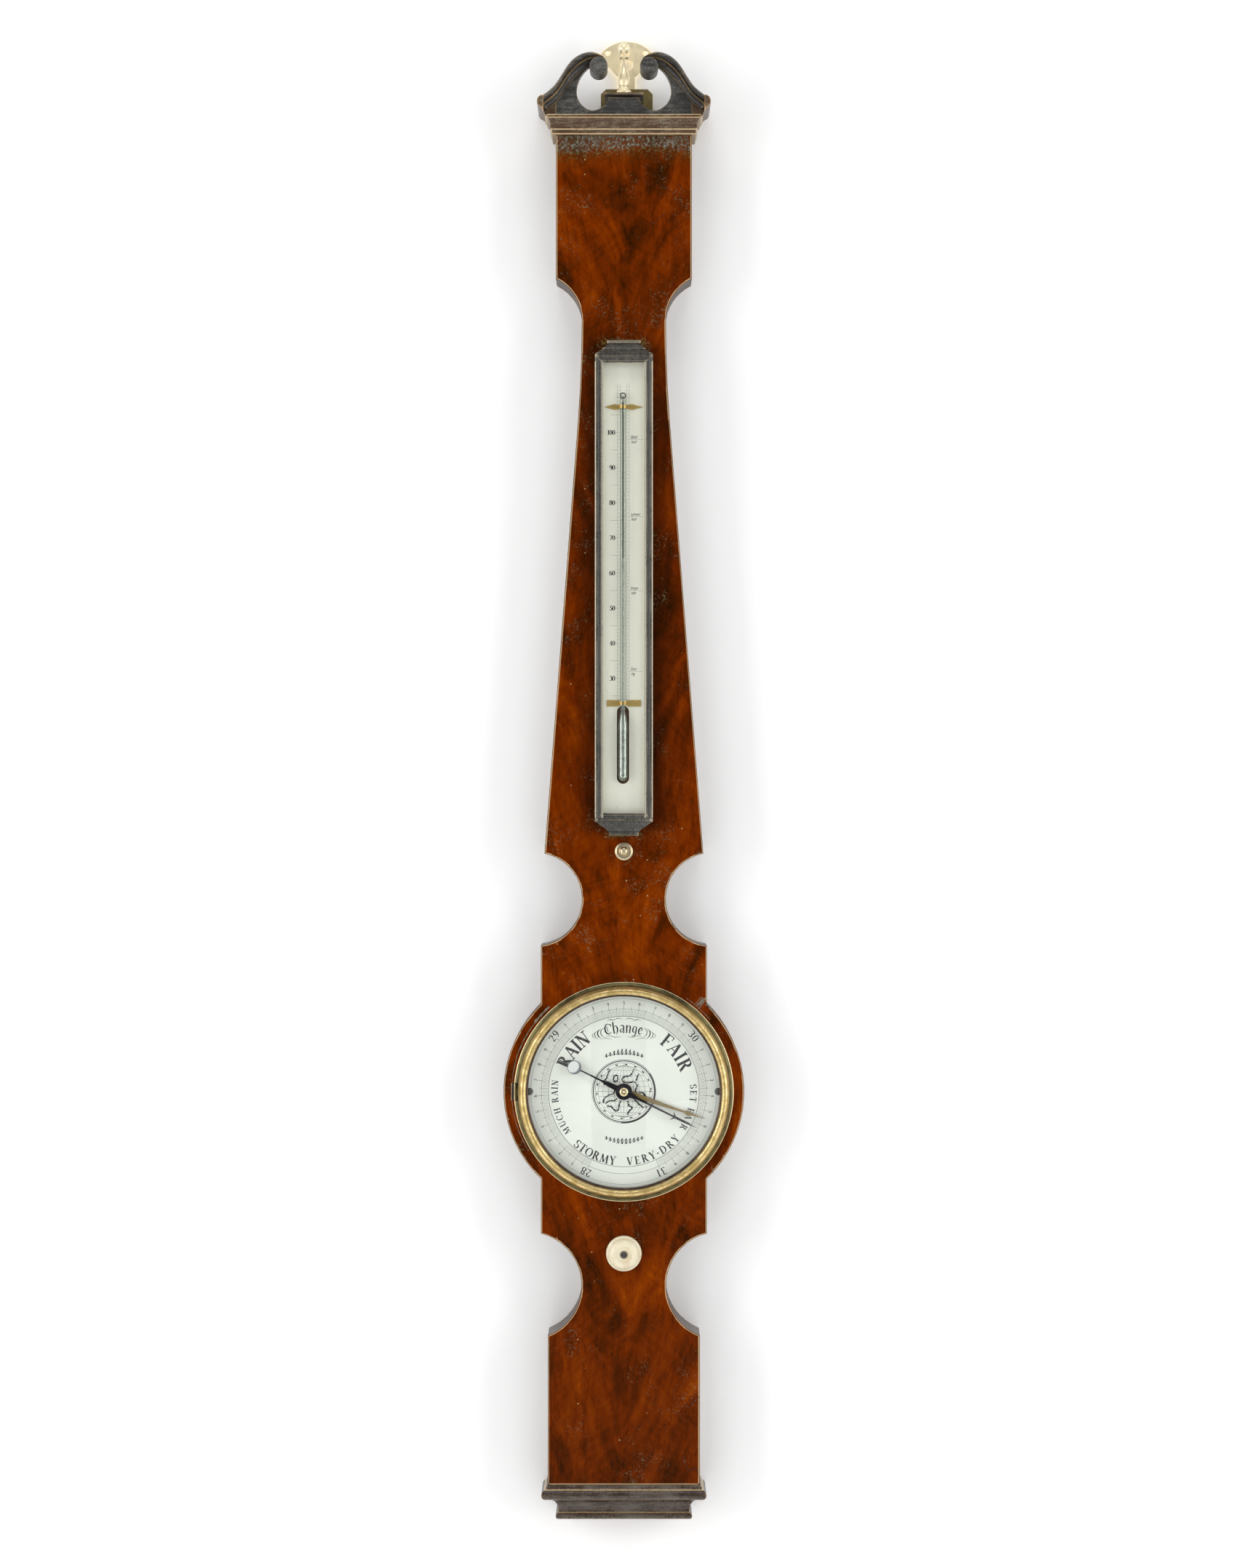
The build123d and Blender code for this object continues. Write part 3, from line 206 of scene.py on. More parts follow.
def mahogany():
    """Crotch mahogany veneer: smoky flames, feathered cross figure, pores, dust, grime and scratches."""
    k = Finish("crotch_mahogany")
    bent = k.warped(k.place, 7.0, 0.045)
    across, _, up = k.split(bent)
    spine = k.sum("ABSOLUTE", k.minus(across, CASE_X))
    plume = k.join(k.times(across, 30.0), 0.0,
                   k.times(k.minus(up, k.times(spine, 1.6)), 20.0))
    flame = k.noise(1.0, 5.0, 0.62, plume, 0.7)
    smoke = k.noise(15.0, 5.0, 0.66, k.stretched(1.3, 1.0, 0.8, bent), 0.9)
    ripple = k.noise(1.0, 3.0, 0.6, k.join(k.times(across, 60.0), 0.0,
                                           k.times(k.plus(up, k.times(spine, 0.7)), 260.0)))
    streak = k.grain(4.0, 0.65, 420.0, 60.0, 26.0, bent)
    tone = k.plus(k.times(flame, 0.6), k.times(smoke, 0.45))
    tone = k.plus(tone, k.times(k.minus(ripple, 0.5), 0.13))
    tone = k.plus(tone, k.times(k.minus(streak, 0.5), 0.15))
    wood = k.ramp(tone, (0.38, (0.024, 0.006, 0.0003)), (0.47, (0.078, 0.012, 0.0001)),
                  (0.545, (0.136, 0.019, 0.0001)), (0.62, (0.2, 0.032, 0.0001)),
                  (0.73, (0.34, 0.07, 0.0006)))
    wood = k.blend(k.band(up, -1.0, -0.8, 0.24, 0.0), wood, (0.02, 0.006, 0.0005))
    # painted shade: darker down the sides of the thermometer box and about the waist, mottled by the smoke
    # figure
    box = box_distance(k, -19.8, 19.8, 186, 505)
    shade = k.times(k.band(box, 0.0, 0.016, 1.0, 0.0), k.band(smoke, 0.34, 0.6, 0.35, 1.0))
    wood = k.blend(k.times(shade, 0.72), wood, (0.014, 0.0052, 0.0015))
    pores = k.grain(2.0, 0.5, 1700.0, 400.0, 150.0, bent)
    wood = k.blend(k.band(pores, 0.62, 0.72, 0.0, 0.55), wood, (0.012, 0.004, 0.0012))
    # dust and old polish, thick under the cornice and thin along the edges
    head = k.band(up, -0.084, -0.067)
    rim = k.edges(0.006, 0.02, 0.42)
    brow = k.band(box_distance(k, -13, 13, 500, 514), 0.0, 0.011, 1.0, 0.0)
    foot = k.band(box_distance(k, -11, 11, 176, 186), 0.0, 0.007, 0.8, 0.0)
    fleck = k.noise(520.0, 4.0, 0.75)
    patch = k.noise(46.0, 3.0, 0.65)
    where = k.most(k.most(k.times(head, 0.9), k.most(brow, foot)),
                  k.times(rim, k.band(patch, 0.42, 0.7, 0.1, 0.6)))
    dust = k.times(k.band(k.plus(fleck, k.times(where, 0.2)), 0.62, 0.76), where, True)
    wood = k.blend(dust, wood, k.blend(k.band(patch, 0.4, 0.6), (0.12, 0.082, 0.016), (0.135, 0.115, 0.06)))
    wood = k.blend(k.times(head, 0.25), wood, (0.055, 0.034, 0.006))
    grime = k.times(k.band(up, -0.0712, -0.0676), k.band(fleck, 0.42, 0.56, 0.15, 1.0))
    mottled = k.blend(k.band(fleck, 0.5, 0.66), (0.07, 0.062, 0.045), (0.23, 0.22, 0.19))
    wood = k.blend(k.times(grime, 0.85), wood, mottled)
    # cream specks, and a few fine scratches
    cell = k.node("TexVoronoi", feature="F1", Scale=210.0, Vector=k.place)
    chance = k.split(cell.outputs["Color"])[0]
    speck = k.times(k.band(cell.outputs["Distance"], 0.055, 0.11, 1.0, 0.0), k.band(chance, 0.9, 0.915))
    wood = k.blend(speck, wood, (0.45, 0.36, 0.19))
    scratch = k.grain(2.0, 0.5, 90.0, 90.0, 2400.0, k.warped(k.place, 14.0, 0.02))
    scratch = k.times(k.band(scratch, 0.735, 0.77), k.band(k.noise(31.0), 0.56, 0.66))
    wood = k.blend(k.times(scratch, 0.5), wood, (0.3, 0.2, 0.1))
    k.set(colour=wood, roughness=k.band(k.plus(dust, k.times(fleck, 0.5)), 0.2, 1.1, 0.17, 0.5),
          specular=0.07)
    relief = k.plus(k.times(k.noise(70.0, 2.0), 1.0), k.times(pores, 0.16))
    relief = k.plus(relief, k.times(dust, 0.5))
    k.bump(relief, 0.22, 0.0004)
    return k.material


def case_side():
    """The solid sides and back of the case, dark with old polish."""
    k = Finish("case_sides")
    grain = k.grain(4.0, 0.6, 260.0, 260.0, 16.0, k.warped(k.place, 9.0, 0.02))
    colour = k.ramp(grain, (0.3, (0.016, 0.011, 0.008)), (0.55, (0.045, 0.026, 0.015)),
                    (0.8, (0.085, 0.046, 0.024)))
    back = k.band(k.split()[1], -0.0045, -0.0012)
    bare_wood = k.ramp(grain, (0.3, (0.09, 0.045, 0.02)), (0.7, (0.22, 0.12, 0.055)))
    colour = k.blend(k.times(back, 0.75), colour, bare_wood)
    worn = k.times(k.edges(0.0012, 0.25, 0.6), k.band(k.noise(60.0), 0.4, 0.6, 0.2, 0.8))
    colour = k.blend(worn, colour, (0.27, 0.22, 0.15))
    k.set(colour=colour, roughness=0.5, coat=0.1, coat_roughness=0.3)
    k.bump(grain, 0.25, 0.0004)
    return k.material


def back_boards(name, light, dark):
    k = Finish(name)
    grain = k.grain(4.0, 0.6, 220.0, 220.0, 9.0, k.warped(k.place, 8.0, 0.03))
    ring = k.grain(3.0, 0.5, 45.0, 45.0, 2.5, k.warped(k.place, 5.0, 0.06))
    both = k.plus(k.times(grain, 0.55), k.times(ring, 0.45))
    colour = k.ramp(both, (0.34, dark), (0.62, light))
    stain = k.band(k.noise(14.0, 4.0), 0.5, 0.72, 0.0, 0.55)
    colour = k.blend(stain, colour, (0.035, 0.02, 0.012))
    k.set(colour=colour, roughness=0.66)
    k.bump(grain, 0.35, 0.0005)
    return k.material


def ebonised(name, dark, dusty, worn, dust_amount=0.5, shine=0.42, wear=0.8,
             streaks=(70.0, 300.0, 500.0), lines=(), stripes=()):
    """Black-stained wood with dust in its grain and hollows, and wear on its edges.

    lines are painted highlight bands between two heights, and stripes are painted highlight and shade bands
    between two distances from the centre line, along the thermometer box. Both are in mm, with a colour
    each.
    """
    k = Finish(name)
    grain = k.grain(4.0, 0.7, *streaks, k.warped(k.place, 20.0, 0.004))
    fine = k.noise(620.0, 4.0, 0.75)
    cloud = k.noise(55.0, 3.0, 0.6)
    colour = k.blend(k.band(grain, 0.35, 0.7), dark, tuple(v * 1.9 for v in dark))
    dirt = k.plus(k.times(grain, 0.5), k.times(fine, 0.5))
    dirt = k.plus(dirt, k.times(k.minus(cloud, 0.5), 0.5))
    hollow = k.edges(0.004, 0.25, 0.8, inside=False)
    dirt = k.plus(dirt, k.times(hollow, 0.05))
    colour = k.blend(k.times(k.band(dirt, 0.44, 0.66), dust_amount), colour, dusty)
    rub = k.times(k.edges(0.0016, 0.24, 0.62), k.band(cloud, 0.34, 0.6, 0.35, 1.0))
    colour = k.blend(k.times(rub, wear), colour, worn)
    # painted highlight bands at the given heights
    for low, high, tint in lines:
        z = k.split()[2]
        inside = k.between(z, at(0, low, 0).z, at(0, high, 0).z)
        colour = k.blend(k.times(inside, k.band(fine, 0.34, 0.5, 0.45, 0.95)), colour, tint)
    # painted highlight and shade stripes beside the centre line, along the thermometer box
    for near, far, tint in stripes:
        x, _, z = k.split()
        aside = k.sum("ABSOLUTE", k.minus(x, CASE_X))
        inside = k.between(aside, near / 1000, far / 1000)
        along = k.between(z, at(0, BOX_FOOT, 0).z, at(0, BOX_HEAD, 0).z, 0.0005)
        inside = k.times(inside, k.times(along, k.band(fine, 0.3, 0.5, 0.5, 1.0)))
        colour = k.blend(inside, colour, tint)
    k.set(colour=colour, roughness=k.band(dirt, 0.3, 0.8, shine - 0.12, shine + 0.22),
          coat=0.12, coat_roughness=0.3)
    k.bump(k.plus(k.times(grain, 0.7), k.times(fine, 0.5)), 0.5, 0.0005)
    return k.material


def brass(name, clean, dull, stain, mottle, roughness, scale=90.0, dirt=0.5, metallic=1.0):
    """Brass: clean colour, duller clouds, and stain in the hollows."""
    k = Finish(name)
    cloud = k.noise(scale, 4.0, 0.65)
    spot = k.noise(scale * 7, 3.0, 0.7)
    both = k.plus(k.times(cloud, 0.6), k.times(spot, 0.4))
    colour = k.blend(k.times(k.band(both, 0.42, 0.62), mottle), clean, dull)
    hollow = k.edges(0.003, 0.35, 0.9, inside=False)
    colour = k.blend(k.times(hollow, dirt), colour, stain)
    k.set(colour=colour, metallic=metallic,
          roughness=k.band(both, 0.3, 0.75, roughness * 0.75, roughness * 1.5))
    lathe = k.grain(2.0, 0.5, 900.0, 900.0, 900.0)
    k.bump(k.plus(lathe, k.times(cloud, 0.6)), 0.1, 0.0002)
    return k.material


def bezel_brass():
    """The bezel's brass: a dark cove with a bright lip, a pitted golden bead and a dark inner slope."""
    k = Finish("bezel_brass")
    x, _, z = k.split()
    x, z = k.minus(x, CASE_X), k.minus(z, DIAL_Z)
    r = distance(k, x, z)
    cloud = k.noise(120.0, 4.0, 0.65)
    pit = k.noise(1100.0, 3.0, 0.7)
    gold = k.blend(k.band(cloud, 0.4, 0.62), (0.8, 0.6, 0.27), (0.5, 0.36, 0.13))
    gold = k.blend(k.band(pit, 0.56, 0.68, 0.0, 0.75), gold, (0.1, 0.07, 0.03))
    cove = k.blend(k.band(cloud, 0.4, 0.62), (0.085, 0.07, 0.03), (0.15, 0.125, 0.05))
    inner = k.blend(k.band(cloud, 0.4, 0.62), (0.055, 0.032, 0.026), (0.1, 0.065, 0.04))
    colour = k.blend(k.band(r, 0.0722, 0.0728), gold, cove)
    colour = k.blend(k.band(r, 0.0749, 0.0752), colour, (0.78, 0.66, 0.4))
    colour = k.blend(k.band(r, 0.0668, 0.0675, 1.0, 0.0), colour, inner)
    both = k.plus(k.times(cloud, 0.5), k.times(pit, 0.5))
    k.set(colour=colour, metallic=0.85, roughness=k.band(both, 0.35, 0.65, 0.24, 0.5))
    k.bump(k.plus(pit, cloud), 0.22, 0.0002)
    return k.material


def silvered(name, colour=(0.88, 0.9, 0.84), metallic=0.0, roughness=0.42):
    """Silvered and lacquered brass: pale, faintly clouded, with a soft sheen."""
    k = Finish(name)
    cloud = k.noise(22.0, 4.0, 0.6)
    tiny = k.noise(900.0, 2.0, 0.6)
    shade = k.blend(k.band(cloud, 0.35, 0.7), colour, tuple(v * 0.93 for v in colour))
    spot = k.noise(260.0, 2.0, 0.7)
    shade = k.blend(k.band(spot, 0.74, 0.8, 0.0, 0.35), shade, (0.3, 0.28, 0.22))
    k.set(colour=shade, metallic=metallic,
          roughness=k.band(cloud, 0.3, 0.7, roughness - 0.05, roughness + 0.08))
    k.bump(tiny, 0.05, 0.0001)
    return k.material


def disc_silver():
    """The domed disc on the hand's tail: bright, but dark along its rim, with painted shade at its lower
    right.
    """
    k = Finish("disc_silver")
    turn = radians(READING)
    x, _, z = k.split()
    x = k.minus(x, CASE_X - TAIL_REACH * cos(turn))
    z = k.minus(z, DIAL_Z - TAIL_REACH * sin(turn))
    off = distance(k, x, z)
    # painted shade: darker to the lower right, away from a point up and to the left of the disc's centre
    aside = distance(k, k.plus(x, 0.0014), k.minus(z, 0.001))
    colour = k.blend(k.band(aside, 0.004, 0.0052), (0.9, 0.92, 0.91), (0.2, 0.22, 0.25))
    colour = k.blend(k.band(off, 0.0041, 0.0046), colour, (0.07, 0.075, 0.085))
    k.set(colour=colour, metallic=0.3, roughness=0.3)
    return k.material


def steel(name, colour, roughness, metallic=1.0):
    k = Finish(name)
    cloud = k.noise(300.0, 3.0, 0.6)
    shade = k.blend(k.band(cloud, 0.35, 0.7), colour, tuple(v * 0.6 for v in colour))
    k.set(colour=shade, metallic=metallic,
          roughness=k.band(cloud, 0.3, 0.7, roughness * 0.8, roughness * 1.3))
    k.bump(cloud, 0.12, 0.0002)
    return k.material


def ivory():
    k = Finish("turned_ivory")
    band = k.grain(3.0, 0.5, 160.0, 160.0, 60.0)
    age = k.noise(120.0, 3.0, 0.6)
    colour = k.ramp(band, (0.3, (0.7, 0.6, 0.4)), (0.6, (0.8, 0.73, 0.54)),
                    (0.8, (0.86, 0.81, 0.66)))
    hollow = k.edges(0.0016, 0.12, 0.5, inside=False)
    colour = k.blend(k.times(hollow, 0.85), colour, (0.34, 0.22, 0.1))
    k.set(colour=colour, roughness=k.band(age, 0.3, 0.7, 0.24, 0.36), coat=0.25, coat_roughness=0.15)
    k.surface.inputs["Subsurface Weight"].default_value = 0.15
    k.surface.inputs["Subsurface Radius"].default_value = (0.004, 0.003, 0.0015)
    k.bump(age, 0.08, 0.0003)
    return k.material


def bare_material(name, *kinds):
    """A material with nothing but new nodes of these kinds, and the way to link them."""
    made = bpy.data.materials.new(name)
    made.use_nodes = True
    made.node_tree.nodes.clear()
    return made, made.node_tree.links.new, [made.node_tree.nodes.new("ShaderNode" + kind) for kind in kinds]


def clear_glass(name, tint, strength):
    """Old window glass: clear, with its reflections, and light passes through it."""
    made, link, (out, mix, sight, shine, facing, steep, more, wave, bump, where) = bare_material(
        name, "OutputMaterial", "MixShader", "BsdfTransparent", "BsdfGlossy", "LayerWeight",
        "Math", "Math", "TexNoise", "Bump", "TexCoord")
    # Schlick's rule, which treats both sides of the pane alike
    steep.operation, more.operation = "POWER", "MULTIPLY_ADD"
    more.use_clamp = True
    for node, socket, value in (
            (facing, "Blend", 0.5), (steep, 1, 5.0), (more, 1, 0.5), (more, 2, 0.04 * strength),
            (sight, "Color", (*tint, 1)), (shine, "Roughness", 0.015), (wave, "Scale", 22.0),
            (bump, "Strength", 0.05), (bump, "Distance", 0.001)):
        node.inputs[socket].default_value = value
    link(where.outputs["Object"], wave.inputs["Vector"])
    link(wave.outputs["Fac"], bump.inputs["Height"])
    link(bump.outputs[0], shine.inputs["Normal"])
    link(facing.outputs["Facing"], steep.inputs[0])
    link(steep.outputs[0], more.inputs[0])
    link(more.outputs[0], mix.inputs[0])
    link(sight.outputs[0], mix.inputs[1])
    link(shine.outputs[0], mix.inputs[2])
    link(mix.outputs[0], out.inputs[0])
    return made


def ink(name, colour):
    """Wax in engraved lines, broken and worn here and there."""
    k = Finish(name)
    worn = k.noise(500.0, 3.0, 0.7)
    pale = tuple(min(1.0, v + 0.28) for v in colour)
    k.set(colour=k.blend(k.band(worn, 0.56, 0.72, 0.0, 0.55), colour, pale),
          roughness=k.band(worn, 0.3, 0.7, 0.45, 0.65), specular=0.3)
    return k.material


def cord_fibre():
    k = Finish("silk_cord")
    twist = k.grain(2.0, 0.5, 2500.0, 2500.0, 900.0)
    k.set(colour=k.ramp(twist, (0.35, (0.13, 0.08, 0.03)), (0.65, (0.33, 0.23, 0.1))),
          roughness=0.8, sheen=0.3)
    k.bump(twist, 0.5, 0.0002)
    return k.material


looks = {
    "veneer": mahogany(),
    "side": case_side(),
    "boards": back_boards("back_boards", (0.2, 0.105, 0.045), (0.06, 0.028, 0.012)),
    "pediment": ebonised("pediment_black", (0.022, 0.021, 0.019), (0.155, 0.155, 0.14),
                         (0.36, 0.22, 0.09), 0.62, 0.45),
    # cornice_brown: with painted highlight lines along its fillets
    "cornice": ebonised("cornice_brown", (0.05, 0.024, 0.009), (0.225, 0.19, 0.125),
                        (0.52, 0.32, 0.15), 0.62, 0.42, 0.95, (120.0, 400.0, 900.0),
                        ((657.7, 658.5, (0.5, 0.36, 0.19)), (660.7, 661.4, (0.6, 0.46, 0.27)),
                         (668.3, 669.0, (0.5, 0.34, 0.17)), (670.4, 671.2, (0.6, 0.46, 0.27)))),
    # frame_black: with painted highlight stripes and a painted shade stripe along the thermometer box
    "frame": ebonised("frame_black", (0.026, 0.025, 0.021), (0.16, 0.155, 0.13),
                      (0.44, 0.37, 0.25), 0.45, 0.34, 0.95, (500.0, 500.0, 30.0), (),
                      ((19.1, 19.8, (0.56, 0.5, 0.37)), (16.8, 17.4, (0.01, 0.01, 0.009)),
                       (14.1, 15.3, (0.4, 0.37, 0.29)))),
    # base_black: with painted highlight lines along its mouldings
    "base": ebonised("base_black", (0.03, 0.017, 0.01), (0.15, 0.135, 0.11), (0.42, 0.3, 0.17), 0.5, 0.3,
                     0.8, (60.0, 400.0, 500.0),
                     ((-273.7, -273.0, (0.5, 0.37, 0.2)), (-280.9, -280.2, (0.42, 0.29, 0.14)),
                      (-291.2, -290.4, (0.46, 0.33, 0.18)), (-295.6, -295.0, (0.3, 0.2, 0.1)))),
    "bezel": bezel_brass(),
    "bright": brass("polished_brass", (0.98, 0.84, 0.54), (0.84, 0.66, 0.36), (0.3, 0.2, 0.08),
                    0.35, 0.16, 60.0),
    "plate": brass("hanger_brass", (1.0, 0.88, 0.6), (0.96, 0.8, 0.5), (0.42, 0.3, 0.13),
                   0.3, 0.42, 40.0, 0.6, 0.72),
    "olive": brass("dull_brass", (0.3, 0.24, 0.1), (0.17, 0.14, 0.07), (0.05, 0.04, 0.02), 0.8, 0.4),
    "aged": brass("aged_brass", (0.46, 0.34, 0.15), (0.26, 0.19, 0.09), (0.06, 0.04, 0.02), 0.7, 0.36),
    "knob": brass("knob_brass", (0.62, 0.52, 0.33), (0.4, 0.33, 0.22), (0.08, 0.06, 0.04),
                  0.6, 0.3, 200.0, 0.8),
    "clip": brass("clip_brass", (0.85, 0.62, 0.24), (0.5, 0.33, 0.11), (0.07, 0.04, 0.01),
                  0.5, 0.3, 300.0, 0.7, 0.8),
    "dial": silvered("dial_silver"),
    "scale": silvered("scale_silver", (0.94, 0.93, 0.85), 0.0, 0.46),
    "ring": silvered("ring_silver", (0.42, 0.42, 0.4), 0.8, 0.35),
    "disc": disc_silver(),
    "blued": steel("blued_steel", (0.055, 0.05, 0.062), 0.3),
    "steel": steel("dark_steel", (0.16, 0.15, 0.14), 0.38),
    "mercury": steel("mercury", (0.86, 0.87, 0.87), 0.14, 0.75),
    "ivory": ivory(),
    "glass": clear_glass("dome_glass", (0.985, 0.992, 0.985), 1.0),
    "pane": clear_glass("pane_glass", (0.985, 0.99, 0.975), 0.6),
    "tube": clear_glass("tube_glass", (0.86, 0.88, 0.86), 1.6),
    "cord": cord_fibre(),
    "ink": ink("engraving_wax", (0.012, 0.012, 0.014)),
    "faint": ink("worn_engraving", (0.065, 0.07, 0.068)),
    "crack": ink("crack", (0.008, 0.004, 0.002)),
    "dust": ink("packed_dust", (0.16, 0.145, 0.105)),
    # a light line along the veneer's arris, partly wear and partly a painted highlight
    "arris": ink("arris_wear_and_highlight", (0.42, 0.29, 0.15)),
}

dress = {
    "veneer": ["front_veneer"],
    "side": ["case_body"],
    "boards": ["upper_tube_cover", "lower_tube_cover", "rear_door", "thermometer_board", "base_board"],
    "pediment": ["pediment_board", "swan_necks", "scroll_bosses", "finial_plinth"],
    "cornice": ["cornice"],
    "frame": ["thermometer_rails", "thermometer_top_cap", "thermometer_bottom_cap"],
    "base": ["base_moulding"],
    "bezel": ["bezel", "bezel_hinge_leaf"],
    "bright": ["hand_cap"],
    "plate": ["hanging_plate", "finial"],
    "olive": ["hanger_base_plate", "case_hinge_leaves", "door_hinge_leaves", "door_button"],
    "aged": ["set_hand", "rear_bridge", "thread_pulley", "hand_arbor", "set_sleeve", "knob_spindle",
             "tube_straps", "catch_spindle", "box_fixings", "knob_bush"],
    "knob": ["catch_knob"],
    "clip": ["upper_tube_clip", "lower_tube_clip", "clip_screws"],
    "dial": ["dial_plate"],
    "scale": ["thermometer_plate"],
    "ring": ["glass_ring"],
    "disc": ["hand_counterpoise"],
    "blued": ["indicating_hand"],
    "steel": ["dial_screws", "case_screws", "knob_screw", "counterweight"],
    "mercury": ["barometer_mercury", "thermometer_mercury"],
    "ivory": ["setting_knob"],
    "glass": ["dial_glass"],
    "pane": ["thermometer_glass"],
    "tube": ["thermometer_tube", "siphon_tube", "float_weight"],
    "cord": ["setting_cord", "float_thread", "counterweight_thread"],
}
for look, names in dress.items():
    for name in names:
        for slot in nodes[name].material_slots:
            slot.material = looks[look]


# ---- mesh helpers
def add(name, data):
    made = bpy.data.objects.new(name, data)
    bpy.context.collection.objects.link(made)
    return made


def add_mesh(name, points, faces, material):
    mesh = bpy.data.meshes.new(name)
    mesh.from_pydata([tuple(p) for p in points], [], faces)
    mesh.materials.append(material)
    return add(name, mesh)


def piece(name, points, faces, look, body, smooth=False):
    """A new piece from points in metres, riding on a CAD body."""
    made = add_mesh(name, points, faces, looks[look])
    made.data.polygons.foreach_set("use_smooth", [smooth] * len(faces))
    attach(made, body)
    return made


def curve_through(points, steps):
    """Points of a smooth curve through the given ones, evenly split between each two."""
    if len(points) < 3:
        return points
    pts = [Vector(p) for p in points]
    ends = [pts[0] * 2 - pts[1]] + pts + [pts[-1] * 2 - pts[-2]]
    line = []
    for a, b, c, d in zip(ends, ends[1:], ends[2:], ends[3:]):
        span = interpolate_bezier(b, b + (c - a) / 6, c - (d - b) / 6, c, steps + 1)
        line += [tuple(v) for v in span[:-1]]
    return line + [tuple(pts[-1])]


class Engraving:
    """Flat strokes on a plane h out from the wall, gathered into one mesh."""

    def __init__(self, h):
        self.h = h
        self.points = []
        self.faces = []

    def stroke(self, line, widths):
        """A ribbon along a line of (x, z) in mm. widths is one number or one for each point."""
        if not isinstance(widths, (list, tuple)):
            widths = [widths] * len(line)
        start = len(self.points)
        for i, (x, z) in enumerate(line):
            ax, az = line[max(i - 1, 0)]
            bx, bz = line[min(i + 1, len(line) - 1)]
            dx, dz = bx - ax, bz - az
            size = hypot(dx, dz) or 1.0
            half = widths[i] / 2
            self.points.append(at(x - dz / size * half, z + dx / size * half, self.h))
            self.points.append(at(x + dz / size * half, z - dx / size * half, self.h))
        for i in range(len(line) - 1):
            a = start + 2 * i
            self.faces.append((a, a + 1, a + 3, a + 2))

    def circle(self, r, width, x=0.0, z=0.0, a0=0.0, a1=360.0, steps=None):
        count = steps or max(8, int(abs(a1 - a0) / 3))
        turns = [radians(a0 + (a1 - a0) * i / count) for i in range(count + 1)]
        self.stroke([(x + r * cos(a), z + r * sin(a)) for a in turns], width)

    def disc(self, x, z, r):
        self.circle(r / 2, r, x, z, steps=10)

    def radial(self, angle, r0, r1, width):
        c, s = cos(radians(angle)), sin(radians(angle))
        self.stroke([(r0 * c, r0 * s), (r1 * c, r1 * s)], width)

    def made(self, name, look, body, slot):
        return piece(name, self.points, self.faces, look, body)


# ---- letters
THICK = 0.2
HAIR = 0.07
